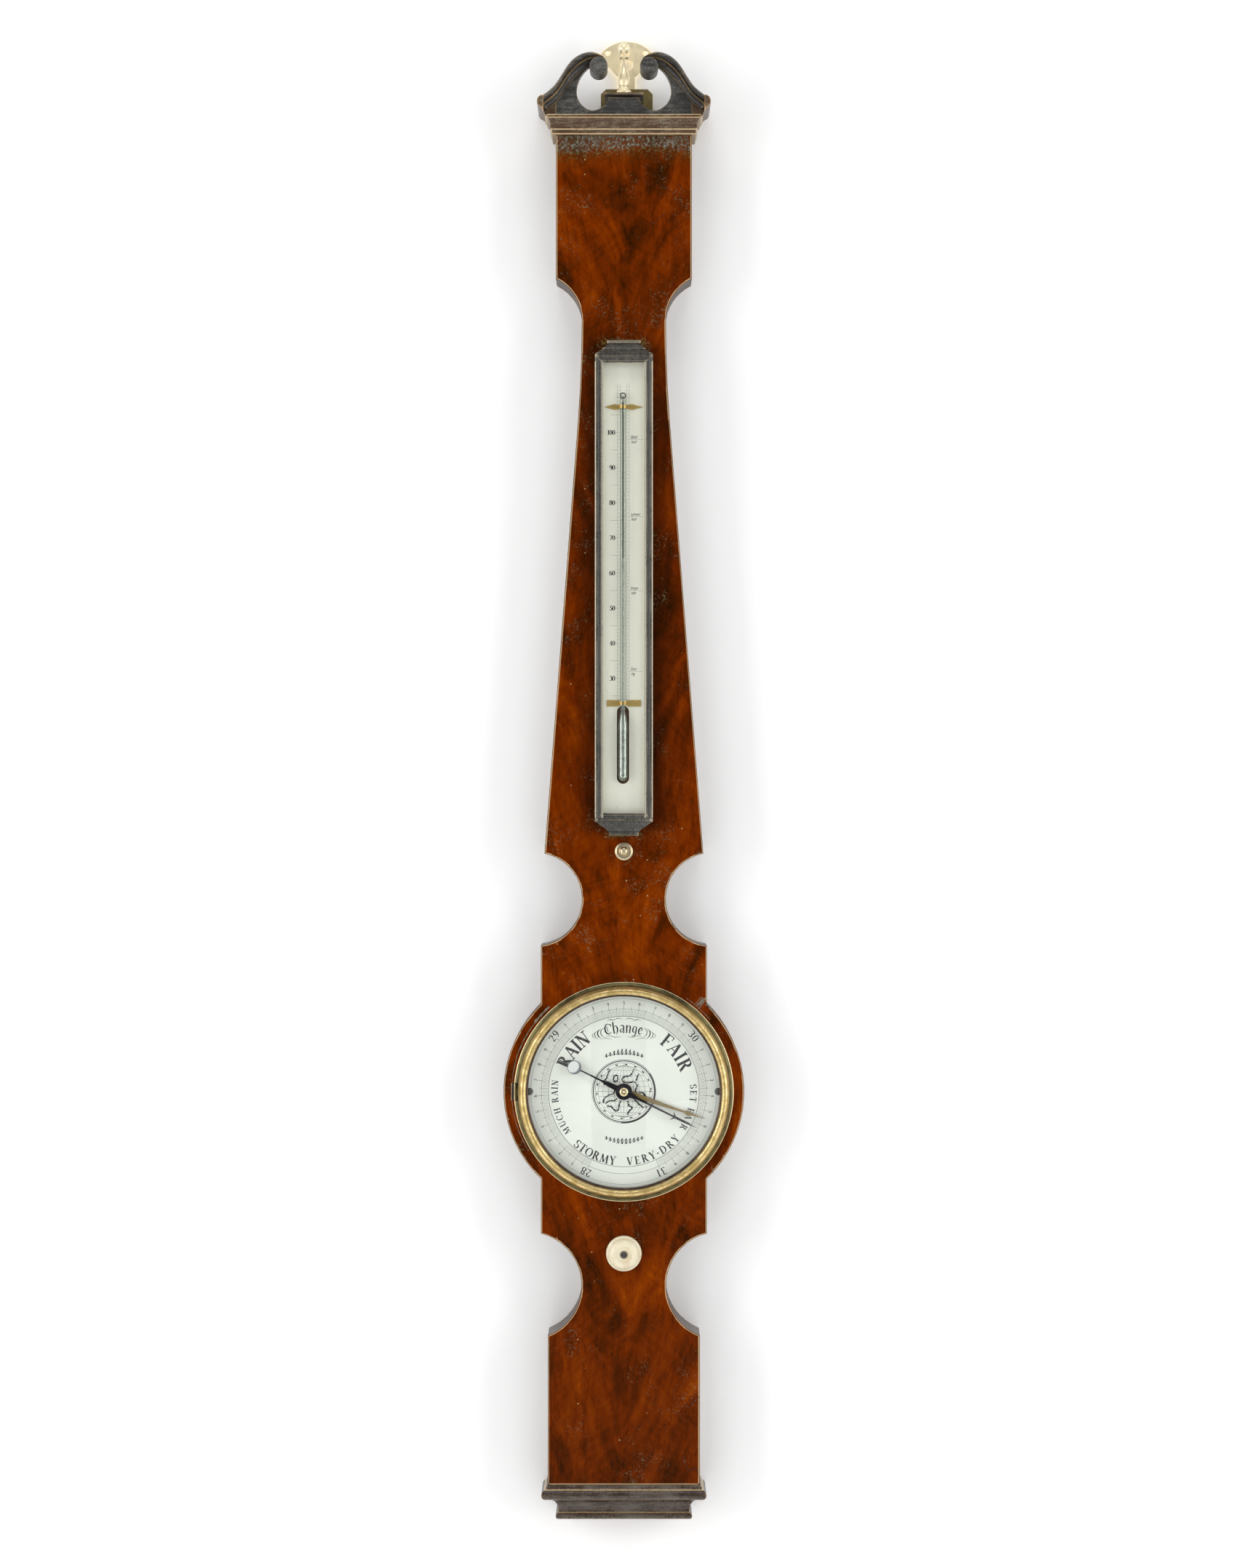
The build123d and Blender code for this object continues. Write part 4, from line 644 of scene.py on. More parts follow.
# Each letter: its width, then its strokes, which are "l" for a line with x0 z0 x1 z1 width,
# "a" for an arc with cx cz rx rz from to, and "s" for a serif with x0 x1 z.
LETTERS = {
    "I": ".42 l .21 0 .21 1 T s .04 .38 0 s .04 .38 1",
    "H": ".9 l .2 0 .2 1 T l .7 0 .7 1 T l .2 .5 .7 .5 H s .04 .36 0 s .04 .36 1 s .54 .86 0 s .54 .86 1",
    "N": ".88 l .16 0 .16 1 H l .16 1 .72 0 T l .72 0 .72 1 H s .02 .3 0 s .02 .2 1 s .58 .86 1",
    "M": "1.08 l .14 0 .2 1 H l .2 1 .52 .05 T l .52 .05 .84 1 H l .86 1 .9 0 T s .02 .28 0 s .74 1.05 0",
    "A": ".86 l .1 0 .44 1 H l .42 1 .74 0 T l .22 .34 .62 .34 H s 0 .22 0 s .58 .86 0",
    "V": ".84 l .12 1 .42 0 T l .42 0 .72 1 H s 0 .28 1 s .62 .84 1",
    "Y": ".82 l .12 1 .4 .45 T l .4 .45 .7 1 H l .41 0 .41 .46 T s 0 .26 1 s .58 .82 1 s .25 .57 0",
    "E": ".74 l .2 0 .2 1 T l .1 1 .64 1 H l .2 .5 .5 .5 H l .1 0 .66 0 H l .63 1 .63 .76 H l .65 0 .65 .26 "
         "H l .49 .6 .49 .4 H s .04 .3 0 s .04 .3 1",
    "F": ".7 l .2 0 .2 1 T l .1 1 .64 1 H l .2 .5 .5 .5 H l .63 1 .63 .76 H l .49 .6 .49 .4 H s .04 .38 0 "
         "s .04 .3 1",
    "T": ".8 l .4 0 .4 1 T l .05 1 .75 1 H l .06 1 .06 .76 H l .74 1 .74 .76 H s .24 .56 0",
    "R": ".86 l .2 0 .2 1 T a .32 .76 .26 .24 90 -90 l .1 1 .34 1 H l .2 .52 .34 .52 H l .42 .5 .72 .02 T "
         "s .04 .38 0 s .04 .3 1 s .66 .86 0",
    "D": ".9 l .2 0 .2 1 T a .34 .5 .44 .5 90 -90 l .1 1 .36 1 H l .1 0 .36 0 H s .04 .3 0 s .04 .3 1",
    "C": ".86 a .46 .5 .38 .5 42 318 l .76 .98 .76 .7 H",
    "S": ".66 a .33 .745 .23 .245 35 268 a .33 .25 .25 .255 88 -150 l .56 .98 .56 .74 H l .09 .02 .09 .28 H",
    "O": ".9 a .45 .5 .38 .5 0 360",
    "U": ".88 l .2 1 .2 .34 T a .45 .34 .25 .34 180 360 l .7 .34 .7 1 H s .04 .36 1 s .58 .84 1",
    "-": ".4 l .05 .42 .33 .42 .14",
    " ": ".5",
    "0": ".62 a .3 .5 .23 .5 0 360",
    "1": ".44 l .22 0 .22 1 T l .08 .84 .22 1 H s .08 .38 0",
    "2": ".62 a .29 .72 .2 .27 165 -38 l .46 .58 .08 .04 .098 l .06 .05 .54 .05 .14",
    "3": ".6 a .27 .76 .2 .235 150 -88 a .27 .27 .23 .27 88 -150",
    "4": ".64 l .42 0 .42 1 .16 l .42 1 .04 .3 H l .04 .3 .6 .3 H s .28 .56 0",
    "5": ".6 l .14 .97 .5 .97 .12 l .14 1 .11 .52 H a .27 .31 .24 .31 120 -150",
    "6": ".62 a .3 .3 .22 .3 0 360 a .44 .42 .36 .56 95 185",
    "7": ".6 l .06 .95 .54 .95 .12 l .54 .95 .22 0 .14",
    "8": ".62 a .3 .76 .19 .235 0 360 a .3 .27 .23 .27 0 360",
    "9": ".62 a .31 .7 .22 .3 0 360 a .17 .58 .36 .56 -85 5",
    "a": ".5 a .21 .28 .19 .28 0 360 l .42 .56 .42 0 .09",
    "b": ".5 l .08 1 .08 0 .09 a .27 .28 .19 .28 0 360",
    "d": ".52 a .21 .28 .19 .28 0 360 l .42 1 .42 0 .09",
    "e": ".46 a .23 .28 .19 .28 5 310 l .06 .3 .42 .3 H",
    "g": ".52 a .21 .28 .19 .28 0 360 l .42 .56 .42 -.2 .09 a .22 -.2 .2 .15 0 -170",
    "h": ".5 l .08 1 .08 0 .09 a .24 .38 .15 .18 180 0 l .4 .38 .4 0 .09",
    "f": ".34 l .14 .8 .14 -.1 .09 a .25 .8 .11 .16 180 30 l .0 .56 .3 .56 H",
    "s": ".42 a .2 .42 .14 .14 40 268 a .2 .14 .15 .14 88 -150",
    "i": ".22 l .1 .56 .1 0 .1 l .1 .8 .1 .86 .1",
    "l": ".22 l .1 1 .1 0 .1",
    "m": ".8 l .08 .56 .08 0 .09 a .24 .38 .15 .18 180 0 l .4 .38 .4 0 .09 a .56 .38 .15 .18 180 0 "
         "l .72 .38 .72 0 .09",
    "n": ".5 l .08 .56 .08 0 .09 a .24 .38 .15 .18 180 0 l .4 .38 .4 0 .09",
    "o": ".48 a .23 .28 .19 .28 0 360",
    "p": ".5 l .08 .56 .08 -.32 .09 a .27 .28 .19 .28 0 360",
    "r": ".36 l .08 .56 .08 0 .09 a .22 .38 .14 .18 180 40",
    "t": ".32 l .14 .86 .14 0 .09 l .0 .56 .3 .56 H",
    "u": ".5 l .08 .56 .08 .2 .09 a .24 .2 .16 .2 180 360 l .42 .56 .42 0 .09",
    "z": ".44 l .04 .54 .4 .54 H l .4 .54 .04 .02 .08 l .04 .02 .42 .02 H",
}
PENS = {"T": THICK, "H": HAIR}


def strokes_of(text):
    """A letter's width, and its strokes as kinds with their numbers."""
    wide, *words = text.split()
    strokes = []
    for word in words:
        if word in "las":
            strokes.append((word, []))
        else:
            strokes[-1][1].append(PENS.get(word) or float(word))
    return float(wide), strokes


GLYPHS = {mark: strokes_of(text) for mark, text in LETTERS.items()}


def letter(out, mark, place, size, weight=1.0):
    """One letter's strokes. place turns the letter's own x and z, in mm, into the plate's."""
    for kind, numbers in GLYPHS[mark][1]:
        if kind == "l":
            x0, z0, x1, z1, width = numbers
            line = [(x0 + (x1 - x0) * t / 3, z0 + (z1 - z0) * t / 3) for t in range(4)]
            widths = [width * weight] * 4
        elif kind == "s":
            x0, x1, z = numbers
            line = [(x0, z), (x1, z)]
            widths = [HAIR * weight * 1.1] * 2
        else:
            cx, cz, rx, rz, a0, a1 = numbers
            count = max(6, int(abs(a1 - a0) / 15))
            turns = [radians(a0 + (a1 - a0) * t / count) for t in range(count + 1)]
            line = [(cx + rx * cos(a), cz + rz * sin(a)) for a in turns]
            heavy = THICK if mark.isupper() or mark.isdigit() else 0.1
            widths = [(HAIR + (heavy - HAIR) * abs(cos(a)) ** 1.6) * weight for a in turns]
        out.stroke([place(x * size, z * size) for x, z in line], [w * size for w in widths])


def arc_word(out, word, radius, middle, size, spread, outward=True, weight=1.0):
    """A word along an arc. spread is the angle from its first letter's start to its last one's end."""
    total = sum(GLYPHS[mark][0] for mark in word)
    turn = -1 if outward else 1
    along = 0.0
    for mark in word:
        wide = GLYPHS[mark][0]
        angle = radians(middle + turn * spread * ((along + wide / 2) / total - 0.5))
        base = radius - size / 2 if outward else radius + size / 2

        def place(x, z, angle=angle, wide=wide, base=base):
            r = base + z if outward else base - z
            a = angle + turn * (x - wide * size / 2) / radius
            return r * cos(a), r * sin(a)

        letter(out, mark, place, size, weight)
        along += wide


def line_word(out, word, x, z, size, slant=0.0, weight=1.0, narrow=1.0):
    """A word on a straight line, its left end at x and its foot at z."""
    for mark in word:
        letter(out, mark, lambda u, v, x=x: (x + (u + v * slant) * narrow, z + v), size, weight)
        x += GLYPHS[mark][0] * size * narrow


# ---- dial engraving
ink_h = DIAL_FACE + 0.02
strong = Engraving(ink_h)
faint = Engraving(ink_h)

SCALE_IN = 51.8
SCALE_OUT = 56.7
PER_INCH = 103.2


def pressure_angle(inches):
    return 90 + (29.5 - inches) * PER_INCH


for r, width in ((SCALE_IN, 0.3), (SCALE_OUT, 0.2), (63.9, 0.14)):
    faint.circle(r, width, steps=150)
for i in range(0, 301):
    angle = pressure_angle(28 + i / 100)
    faint.radial(angle, SCALE_IN, SCALE_OUT - (0.9 if i % 5 else 0), 0.15 if i % 5 else 0.2)
    if i % 5 == 0:
        faint.radial(angle, SCALE_OUT, SCALE_OUT + (1.6 if i % 10 else 2.6), 0.2)
for inch in (28, 29, 30, 31):
    arc_word(strong, str(inch), 61.2, pressure_angle(inch), 5.0, 7.4, weight=0.95)
for i in range(1, 30):
    if i % 10:
        arc_word(faint, str(i % 10), 61.0, pressure_angle(28 + i / 10), 2.2, 1.8, weight=1.2)
arc_word(strong, "RAIN", 45.6, 140.6, 9.0, 35)
arc_word(strong, "FAIR", 45.8, 36.0, 9.0, 36)
arc_word(strong, "MUCH RAIN", 47.7, 194.0, 4.3, 48)
arc_word(strong, "SET FAIR", 47.9, -13.8, 4.4, 40.5)
arc_word(strong, "STORMY", 48.1, 245.0, 5.6, 37.5, outward=False)
arc_word(strong, "VERY-DRY", 48.1, -63.8, 5.2, 49, outward=False)


def pen(out, points, widths, steps=5):
    """A smooth pen stroke through the points, whose width runs through the widths."""
    line = curve_through([(x, z, 0) for x, z in points], steps)
    count = len(line) - 1
    shape = []
    for i in range(count + 1):
        t = i / count * (len(widths) - 1)
        n = min(int(t), len(widths) - 2)
        shape.append(widths[n] + (widths[n + 1] - widths[n]) * (t - n))
    out.stroke([(p[0], p[1]) for p in line], shape)


# the word at the top of the dial, in broken letters, along the arc
top_word = {
    "C": (5.6, [
        ([(4.6, 6.6), (2.6, 7.6), (.9, 5.4), (.7, 2.4), (2.2, .5), (4.6, 1.3)], (.3, .5, 1, 1.1, .7, .2)),
        ([(2.3, 6.4), (2.1, 4), (2.4, 1.8)], (.2, .55, .2)),
        ([(4.3, 7.2), (4.9, 6.2), (4.6, 5.3)], (.2, .9, .2))]),
    "h": (4.6, [
        ([(.9, 8.3), (.8, 4), (.9, .7)], (.9, 1, .9)),
        ([(.3, .9), (.9, .1), (1.5, .8)], (.2, .8, .2)),
        ([(.9, 4.2), (2.4, 5.2), (3.4, 3.6), (3.2, 1.2), (2.2, -1.2)], (.2, .5, 1, .9, .1))]),
    "a": (4.4, [
        ([(.9, 4.7), (2.2, 5.3), (3.1, 4.4), (3, 1)], (.4, .6, .95, .95)),
        ([(3, 2.9), (1.4, 2.6), (.7, 1.4), (1.4, .4), (3, 1.4)], (.15, .4, .85, .5, .15)),
        ([(2.5, .9), (3.1, .1), (3.8, .9)], (.2, .8, .2))]),
    "n": (4.4, [
        ([(.9, 4.6), (.9, .8)], (.95, .95)),
        ([(.3, 4.4), (.9, 5.2), (1.5, 4.4)], (.2, .8, .2)),
        ([(.4, .8), (.9, .1), (1.5, .8)], (.2, .8, .2)),
        ([(1, 3.6), (2.3, 5), (3.2, 4.3), (3.1, .9)], (.15, .4, .95, .95)),
        ([(2.6, .8), (3.1, .1), (3.8, .9)], (.2, .8, .2))]),
    "g": (4.2, [
        ([(2.9, 4.9), (1.3, 4.9), (.8, 2.9), (1.2, 1), (2.8, 1.3)], (.3, .5, 1, .8, .15)),
        ([(3, 5.2), (3.1, 2.4), (3, -.6), (1.6, -1.9), (.4, -1.2)], (.6, .95, .8, .4, .15))]),
    "e": (3.8, [
        ([(3, 3.5), (2.2, 5.1), (1, 4.2), (.8, 2), (1.7, .4), (3.3, 1.3)], (.5, .7, .9, 1, .7, .15)),
        ([(1, 2.6), (3, 3.6)], (.15, .3))]),
}
WORD_FOOT, WORD_MIDDLE = 40.4, 43.5
across = -sum(top_word[mark][0] for mark in "Change") / 2
for mark in "Change":
    wide, strokes = top_word[mark]
    for points, widths in strokes:
        placed = []
        for x, z in points:
            r = WORD_FOOT + z * 0.97
            a = pi / 2 - (across + x) / WORD_MIDDLE
            placed.append((r * cos(a), r * sin(a)))
        pen(strong, placed, [w * 0.9 + 0.06 for w in widths])
    across += wide
for side in (-1, 1):
    bows = []
    for x0, tall, heavy in ((15.2, 3.9, .55), (17.3, 4.0, .8), (19.4, 3.2, .5), (21.0, 2.2, .3)):
        z0 = 42.9 - x0 * x0 / 96
        bows.append(([(x0 - 1.5, z0 + tall * .9), (x0 + .6, z0 + tall * .3), (x0 + .3, z0 - tall * .4),
                      (x0 - 2.2, z0 - tall)], (.08, heavy, heavy, .08)))
    for points, widths in (*bows, ([(1, 49.7), (4, 50.3), (7.5, 49.4), (11, 50.2)], (.1, .4, .2, .1)),
                           ([(12, 48.6), (9, 49.3), (6, 48.3)], (.1, .35, .1)),
                           ([(2, 37.9), (6, 37.3), (10, 38.3), (13, 37.2)], (.1, .35, .3, .1)),
                           ([(15, 36.2), (12, 36.6), (8, 35.9)], (.1, .3, .1))):
        pen(strong, [(side * x, z) for x, z in points], widths)

# scrolls of the engraver's own, where a maker would sign
for low, wide in ((25.5, 1.0), (-33.2, -1.0)):
    for side in (-1, 1):
        for i in range(5):
            x = side * (1.4 + i * 2.7)
            z = low + wide * 1.4 - abs(x) ** 2 / 60 * wide
            tall = 4.9 - i * 0.55
            pen(strong, [(x - 1.1, z - tall * .35), (x + .3, z + tall * .5), (x + .1, z - tall * .3),
                         (x + 1.5, z + tall * .15)], (.14, .5, .75, .14))
    pen(faint, [(-13.5, low - wide * 1.6), (-6, low - wide * 0.1), (0, low + wide * 0.15),
                (6, low - wide * .1), (13.5, low - wide * 1.6)], (.06, .16, .3, .16, .06), 8)

# the roundel: rings, a net of meridians and parallels, and an invented coast
for r, width in ((21.9, .28), (21.0, .7), (19.7, .22), (17.7, .18)):
    (faint if width != .22 else strong).circle(r, width, steps=90)
faint.circle(21.5, 1.0, a0=-95, a1=35, steps=40)
for a in range(0, 360, 20):
    strong.circle(18.7, .8, a0=a + 2.5, a1=a + 8.0, steps=4)
strong.stroke([(-19.3, 0), (19.3, 0)], .2)
strong.stroke([(0, -19.3), (0, 19.3)], .2)
GLOBE = 17.6
for part in (-.82, -.6, -.38, -.18, .18, .38, .6, .82):
    turns = [radians(a) for a in range(-90, 91, 10)]
    faint.stroke([(GLOBE * part * cos(a), GLOBE * sin(a)) for a in turns], .15)
    sag = 2.6 * part * (1 - abs(part))
    reach = GLOBE * sqrt(1 - part ** 2)
    faint.stroke([(reach * sin(a), GLOBE * part + sag * sin(a) ** 2) for a in turns], .15)


def coast(points, width=.85, closed=False):
    """A ragged coastline through a few points, with short shading strokes on its sea side."""
    if closed:
        points = points + [points[0]]
    line = curve_through([(x, z, 0) for x, z in points], 6)
    ragged = [(p[0] + rng.uniform(-.22, .22), p[1] + rng.uniform(-.22, .22)) for p in line]
    strong.stroke(ragged, [width * rng.uniform(.55, 1.25) for _ in ragged])
    for (x0, z0), (x1, z1) in zip(ragged[::2], ragged[1::2]):
        size = hypot(x1 - x0, z1 - z0) or 1
        faint.stroke([(x0, z0), (x0 - (z1 - z0) / size * 1.3, z0 + (x1 - x0) / size * 1.3)], .2)


coast([(-9.5, 15.2), (-11, 11.8), (-12.4, 8.6), (-14, 6.3), (-13.2, 4.4)])
coast([(-6.8, 10.4), (-5.2, 11.2), (-4.2, 9.2), (-4.9, 7.0), (-6.8, 7.4)], 1.0, True)
coast([(6.6, 15.6), (5.6, 12.4), (3.2, 10.6), (.4, 10.2), (-1.4, 8.2), (.4, 6.2), (3.8, 6.0), (7.4, 6.4),
       (9.2, 3.6), (7.6, .4), (9.4, -1.6)])
coast([(9.8, 12.2), (9.2, 9.6), (8.4, 7.4)])
coast([(10.4, -1.4), (12.6, -.8), (14.4, -2.6), (14.2, -5.4)], 1.15)
coast([(6.6, -4.8), (9.0, -7.4), (11.6, -9.8), (13.4, -11.2)], 1.0)
coast([(-6.4, 1.4), (-7.2, -1.4), (-10.6, -2.6), (-13.6, -5.2), (-14.2, -8.2)])
coast([(-12.4, -8.4), (-9.8, -6.6), (-6.6, -6.4), (-4.4, -4.8)])
coast([(-11.8, -10.0), (-8.8, -10.6), (-5.6, -13.6), (-3.6, -12.2), (-3.2, -8.8), (-1.8, -6.2)], 1.0)
coast([(2.4, -6.8), (3.4, -9.6), (5.6, -11.2), (3.6, -13.6), (2.4, -16.0)], 1.0)
strong.disc(18.3, 0, .62)
strong.disc(-8.4, 3.4, .3)

strong.made("dial_engraving", "ink", "case", "dark_steel")
faint.made("dial_fine_engraving", "faint", "case", "dark_steel")

# ---- thermometer engraving
plate_h = SCALE_FACE + 0.02
marks = Engraving(plate_h)
fine = Engraving(plate_h)


def degree_z(value):
    """The height of a temperature in degrees Fahrenheit on the plate."""
    return 284.0 + (value - 30) * 2.4117


LEFT_RUNGS = (-4.35, -2.25)
RIGHT_RUNGS = (1.9, 3.7)
low_z, high_z = degree_z(23), degree_z(114)
for x in LEFT_RUNGS + RIGHT_RUNGS:
    fine.stroke([(x, low_z), (x, high_z)], .11)
for value in range(23, 114):
    z = degree_z(value)
    for left, right in (LEFT_RUNGS, RIGHT_RUNGS):
        fine.stroke([(left, z), (right, z)], .1)
    if value % 5 == 0:
        fine.stroke([(-9.3 if value % 2 else -5.6, z), (LEFT_RUNGS[0], z)], .12)
size = 3.1
for value in range(30, 101, 10):
    wide = sum(GLYPHS[mark][0] for mark in str(value)) * size
    line_word(marks, str(value), -6 - wide, degree_z(value) - size / 2, size, 0, 1.15)
for value, above, below in ((98, "blood", "heat"), (76, "summer", "heat"), (55, "tempe", "rate"),
                            (32, "freez", "ing")):
    z = degree_z(value)
    fine.stroke([(3.8, z), (13.4, z)], .12)
    line_word(fine, above, 4.6, z + .7, 2.5, .35, .95, .78)
    line_word(fine, below, 5.0, z - 2.6, 2.5, .35, .95, .78)
marks.made("scale_numerals", "ink", "case", "dark_steel")
fine.made("scale_engraving", "faint", "case", "dark_steel")


# ---- swan necks
# Right half: along the neck, its outer edge and its inner edge, in the case's x and z.
NECK = [((59.6, 678.6), (52.4, 674.9)), ((58.2, 681.2), (51.4, 676.4)), ((55.1, 684.0), (49.6, 677.7)),
        ((51.2, 687.0), (47.4, 679.4)), ((47.2, 691.0), (44.4, 682.6)), ((43.0, 697.2), (41.0, 687.6)),
        ((38.7, 704.0), (36.6, 693.9)), ((34.2, 708.9), (31.4, 699.2)), ((28.6, 712.1), (26.8, 703.2)),
        ((23.0, 713.2), (23.3, 705.8)), ((18.6, 712.2), (20.0, 707.8)), ((15.1, 710.4), (16.8, 708.4)),
        ((12.5, 707.6), (13.6, 706.6)), ((11.3, 704.6), (12.2, 704.2))]
# Across the neck: share of the width from outside to inside, and height out from the wall.
PROFILE = [(0.0, 33.0), (0.0, 39.2), (0.03, 41.2), (0.09, 43.0), (0.18, 44.0), (0.28, 43.9), (0.37, 42.8),
           (0.42, 41.2), (0.435, 39.6), (0.47, 39.2), (0.5, 40.2), (0.52, 41.0), (0.56, 41.1), (0.6, 39.6),
           (0.68, 37.6), (0.78, 36.3), (0.88, 35.8), (0.9, 35.0), (0.955, 35.0), (0.975, 36.0), (1.0, 36.0),
           (1.0, 33.0)]


def swan_neck(side):
    outer = curve_through([(x, z, 0) for (x, z), _ in NECK], 6)
    inner = curve_through([(x, z, 0) for _, (x, z) in NECK], 6)
    points, faces = [], []
    for a, b in zip(outer, inner):
        for share, h in PROFILE:
            points.append(at(side * (a[0] + (b[0] - a[0]) * share), a[1] + (b[1] - a[1]) * share, h))
    count = len(PROFILE)
    for i in range(len(outer) - 1):
        for j in range(count):
            k = (j + 1) % count
            quad = (i * count + j, i * count + k, (i + 1) * count + k, (i + 1) * count + j)
            faces.append(quad if side < 0 else quad[::-1])
    last = (len(outer) - 1) * count
    ends = [tuple(range(count)), tuple(range(last, last + count))]
    faces.append(ends[0][::-1] if side < 0 else ends[0])
    faces.append(ends[1] if side < 0 else ends[1][::-1])
    made = piece("swan_neck_" + ("left" if side < 0 else "right"), points, faces, "pediment", "case")
    made.data.polygons.foreach_set("use_smooth", [len(p.vertices) == 4 for p in made.data.polygons])
    made.data.set_sharp_from_angle(angle=radians(38))
    return made


for side in (-1, 1):
    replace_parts(swan_neck(side), "swan_necks")

# ---- cracks, chips and the tube's ring
flaws = Engraving(FRONT + 0.02)


def crack(points, width):
    line = []
    for (x0, z0), (x1, z1) in zip(points, points[1:]):
        for t in range(4):
            line.append((x0 + (x1 - x0) * t / 4 + rng.uniform(-.25, .25),
                         z0 + (z1 - z0) * t / 4 + rng.uniform(-.15, .15)))
    line.append(points[-1])
    flaws.stroke(line, [width * rng.uniform(.4, 1.2) for _ in line])


crack([(51.5, -209.5), (49.0, -212.5), (47.2, -214.5), (44.5, -212.0)], .5)
crack([(51.0, -262.0), (48.6, -259.0), (44.8, -260.4), (41.8, -256.0), (41.2, -250.5)], .6)
crack([(56.4, 61.6), (57.2, 59.2), (58.4, 57.0)], .7)
crack([(19, 596.0), (25, 601.0), (31, 605.5)], .3)
flaws.made("veneer_cracks", "crack", "case", "mahogany")

# lost veneer at the dial's right shoulder, and dust packed along the bezel
bare = Engraving(FRONT + 0.03)
for dx, dz, width in ((0, 0, 1.3), (2.2, .6, .9), (1, -1.9, .7), (-1, .8, .5)):
    line = [(49.4 + dx + t * 1.35 + rng.uniform(-.3, .3), 58.4 + dz + t * 1.55 + rng.uniform(-.3, .3))
            for t in range(5)]
    bare.stroke(line, [.1, width, width * .7, width, .1])
bare.stroke([(60.3, -51.2), (60.9, -54.0), (61.6, -56.4)], [.2, .5, .15])
for radius, low, high, width in ((77.6, 131, 142, 2.0), (77.3, 142, 166, .8), (77.1, 166, 212, .6),
                                 (77.2, 40, 56, .5)):
    count = int((high - low) / 1.5)
    arc = [radians(low + (high - low) * i / count) for i in range(count + 1)]
    bare.stroke([((radius + rng.uniform(-.15, .15)) * cos(a), radius * sin(a)) for a in arc],
                [width * rng.uniform(.35, 1.1) for _ in arc])
bare.made("packed_dust", "dust", "case", "mahogany")

# the arris: a thin light line just inside the veneer's outline, partly wear and partly a painted highlight
sheet_mesh = nodes["front_veneer"].data
sheet_place = nodes["front_veneer"].matrix_world
BEZEL_HOLE, BOX_HALF, BOX_START = 0.0765, 0.022, 0.17
front_edges = {}
for face in sheet_mesh.polygons:
    if (sheet_place.to_3x3() @ face.normal).y < -0.9:
        middle = sheet_place @ face.center
        for pair in face.edge_keys:
            front_edges.setdefault(pair, []).append(middle)
arris_points, arris_faces = [], []
for (i, j), middles in front_edges.items():
    a, b = (sheet_place @ sheet_mesh.vertices[n].co for n in (i, j))
    centre = (a + b) / 2 - at(0, 0, FRONT)
    behind_box = abs(centre.x) < BOX_HALF and centre.z > BOX_START
    if len(middles) > 1 or hypot(centre.x, centre.z) < BEZEL_HOLE or behind_box:
        continue
    inward = Vector((a.z - b.z, 0, b.x - a.x)).normalized()
    if inward.dot(middles[0] - a) < 0:
        inward = -inward
    wide = rng.uniform(0.0004, 0.0008)
    first = len(arris_points)
    lift = Vector((0, -0.00002, 0))
    arris_points += [a + lift, b + lift, b + inward * wide + lift, a + inward * wide + lift]
    arris_faces.append((first, first + 1, first + 2, first + 3))
piece("arris_wear_and_highlight", arris_points, arris_faces, "arris", "case")

# the wire ring at the head of the thermometer's tube
AROUND, ACROSS = 24, 8
RING, WIRE = 1.75, 0.42
ring_points, ring_faces = [], []
for i in range(AROUND):
    a = 2 * pi * i / AROUND
    here, there = i * ACROSS, (i + 1) % AROUND * ACROSS
    for j in range(ACROSS):
        b = 2 * pi * j / ACROSS
        r = RING + WIRE * cos(b)
        ring_points.append(at(-0.6 + r * cos(a), 477.9 + r * sin(a), 38.25 + WIRE * sin(b)))
        k = (j + 1) % ACROSS
        ring_faces.append((here + j, there + j, there + k, here + k))
piece("tube_ring", ring_points, ring_faces, "steel", "case", True)


# ---- wall, floor, lights and camera
def plain(name, value):
    """Matt grey that is clear from behind and throws no shadow, so that the back is lit too."""
    made, link, (out, mix, see, matt, side, path, either) = bare_material(
        name, "OutputMaterial", "MixShader", "BsdfTransparent", "BsdfDiffuse", "NewGeometry",
        "LightPath", "Math")
    either.operation = "MAXIMUM"
    matt.inputs["Color"].default_value = (value, value, value, 1)
    link(side.outputs["Backfacing"], either.inputs[0])
    link(path.outputs["Is Shadow Ray"], either.inputs[1])
    link(either.outputs[0], mix.inputs[0])
    link(matt.outputs[0], mix.inputs[1])
    link(see.outputs[0], mix.inputs[2])
    link(mix.outputs[0], out.inputs[0])
    return made


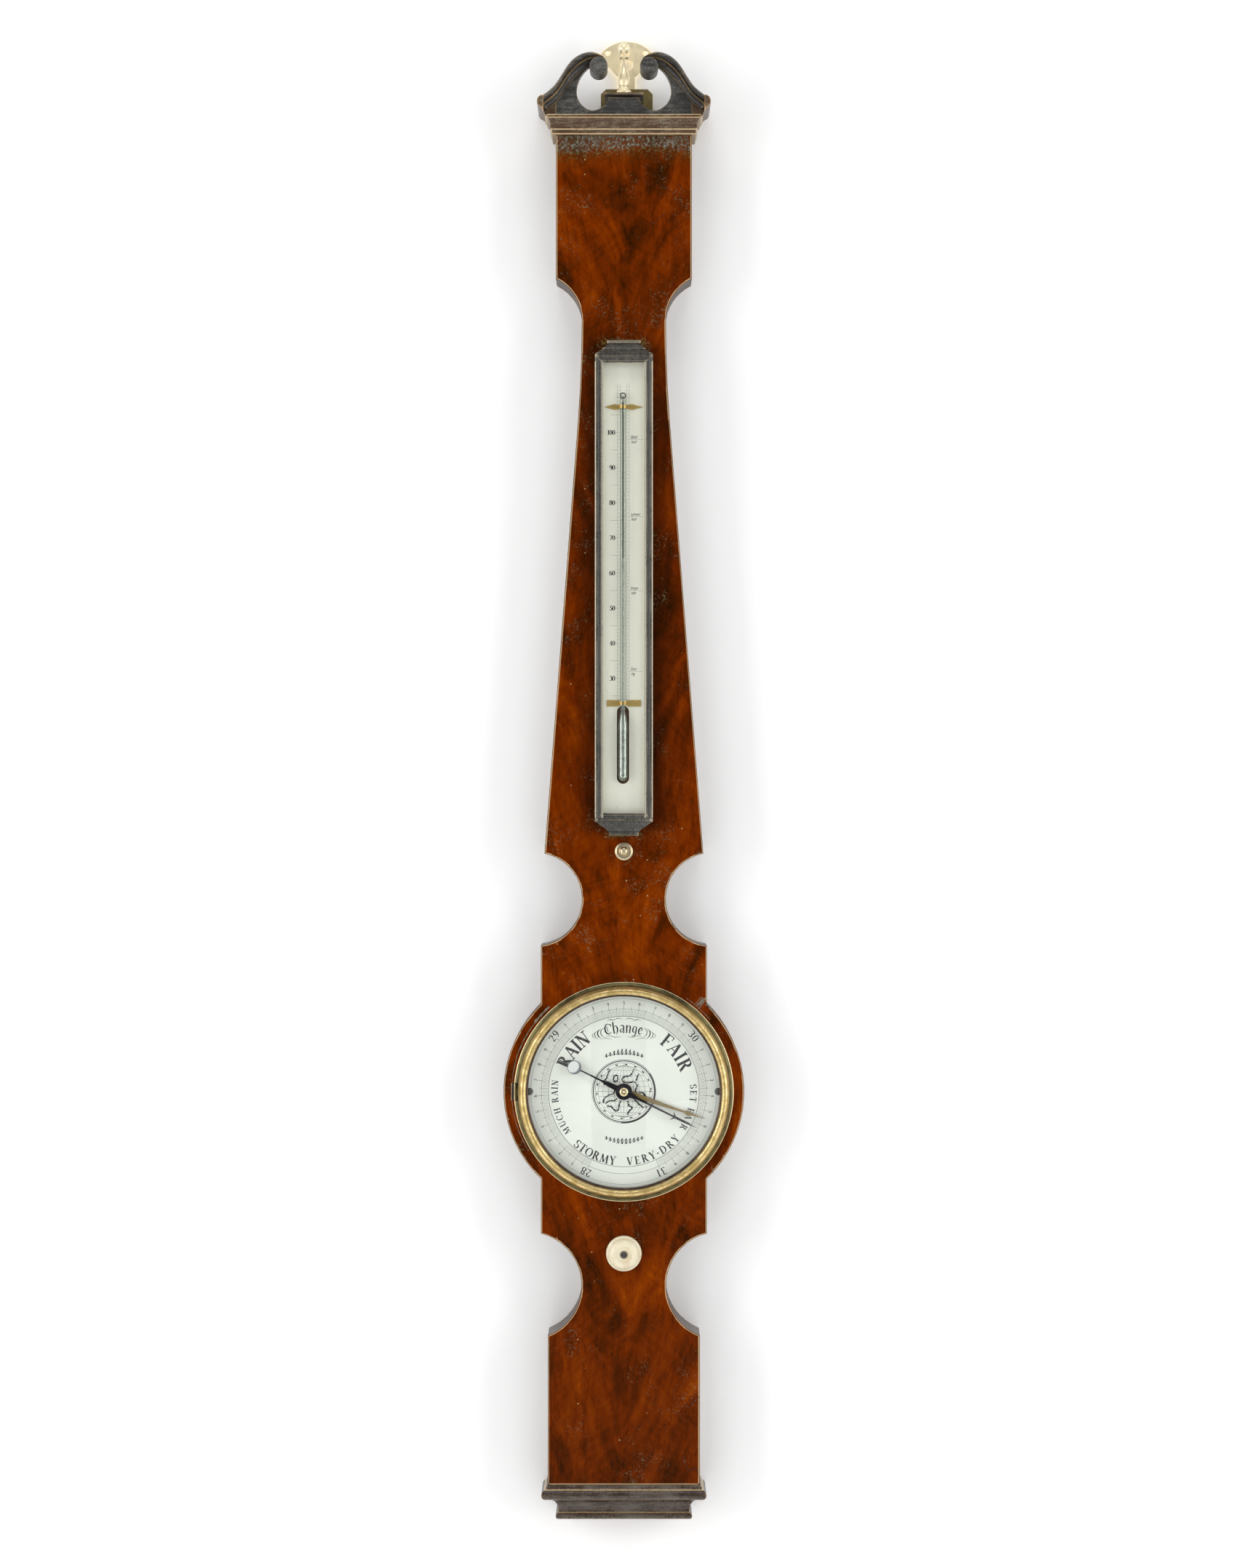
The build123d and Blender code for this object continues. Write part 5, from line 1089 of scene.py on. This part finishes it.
for name, corners, value in (
        ("wall", [(-6, 0.003, -1.6), (6, 0.003, -1.6), (6, 0.003, 4), (-6, 0.003, 4)], 0.99),
        ("floor", [(-6, -6, -1.6), (6, -6, -1.6), (6, 6, -1.6), (-6, 6, -1.6)], 0.9)):
    add_mesh(name, corners, [(0, 1, 2, 3)], plain(name, value))


def softbox(name, place, target, wide, tall, watts):
    light = bpy.data.lights.new(name, "AREA")
    light.shape = "RECTANGLE"
    light.size = wide
    light.size_y = tall
    light.energy = watts
    made = add(name, light)
    made.location = place
    made.rotation_euler = (Vector(target) - Vector(place)).to_track_quat("-Z", "Y").to_euler()


softbox("left_panel", (-0.82, -1.65, -0.45), (-0.82, 0, -0.45), 1.05, 1.9, 5)
softbox("right_panel", (0.72, -1.65, -0.45), (0.72, 0, -0.45), 1.05, 1.9, 5)
softbox("left_key", (-1.75, -1.1, -0.3), (0, 0, -0.5), 0.8, 1.9, 23)
softbox("right_key", (1.75, -1.1, -0.3), (0, 0, -0.5), 0.8, 1.9, 22)
softbox("top_box", (0, -1.0, 1.2), (0, 0, -0.3), 1.4, 0.6, 8)
softbox("back_box", (0, 2.2, 0.4), (0, 0, -0.5), 1.6, 1.6, 30)

# pale all round, but dark behind the camera, so that flat faces keep their colour
world = bpy.data.worlds.new("studio")
world.use_nodes = True
sky = world.node_tree
look = sky.nodes.new("ShaderNodeTexCoord")
parts = sky.nodes.new("ShaderNodeSeparateXYZ")
fade = sky.nodes.new("ShaderNodeMapRange")
for socket, number in zip(fade.inputs[1:5], (-0.95, -0.35, 0.03, 0.3)):
    socket.default_value = number
sky.links.new(look.outputs["Generated"], parts.inputs[0])
sky.links.new(parts.outputs[1], fade.inputs[0])
sky.links.new(fade.outputs[0], sky.nodes["Background"].inputs[1])
sky.nodes["Background"].inputs[0].default_value = (1, 1, 1, 1)
bpy.context.scene.world = world
bpy.context.scene.view_settings.view_transform = "Standard"

camera_data = bpy.data.cameras.new("camera")
camera_data.sensor_fit = "VERTICAL"
camera_data.angle = 2 * atan(0.539 / 2.2)
camera = add("camera", camera_data)
camera.location = (0.0005, -2.233, -0.5095)
camera.rotation_euler = (pi / 2, 0, 0)
bpy.context.scene.camera = camera
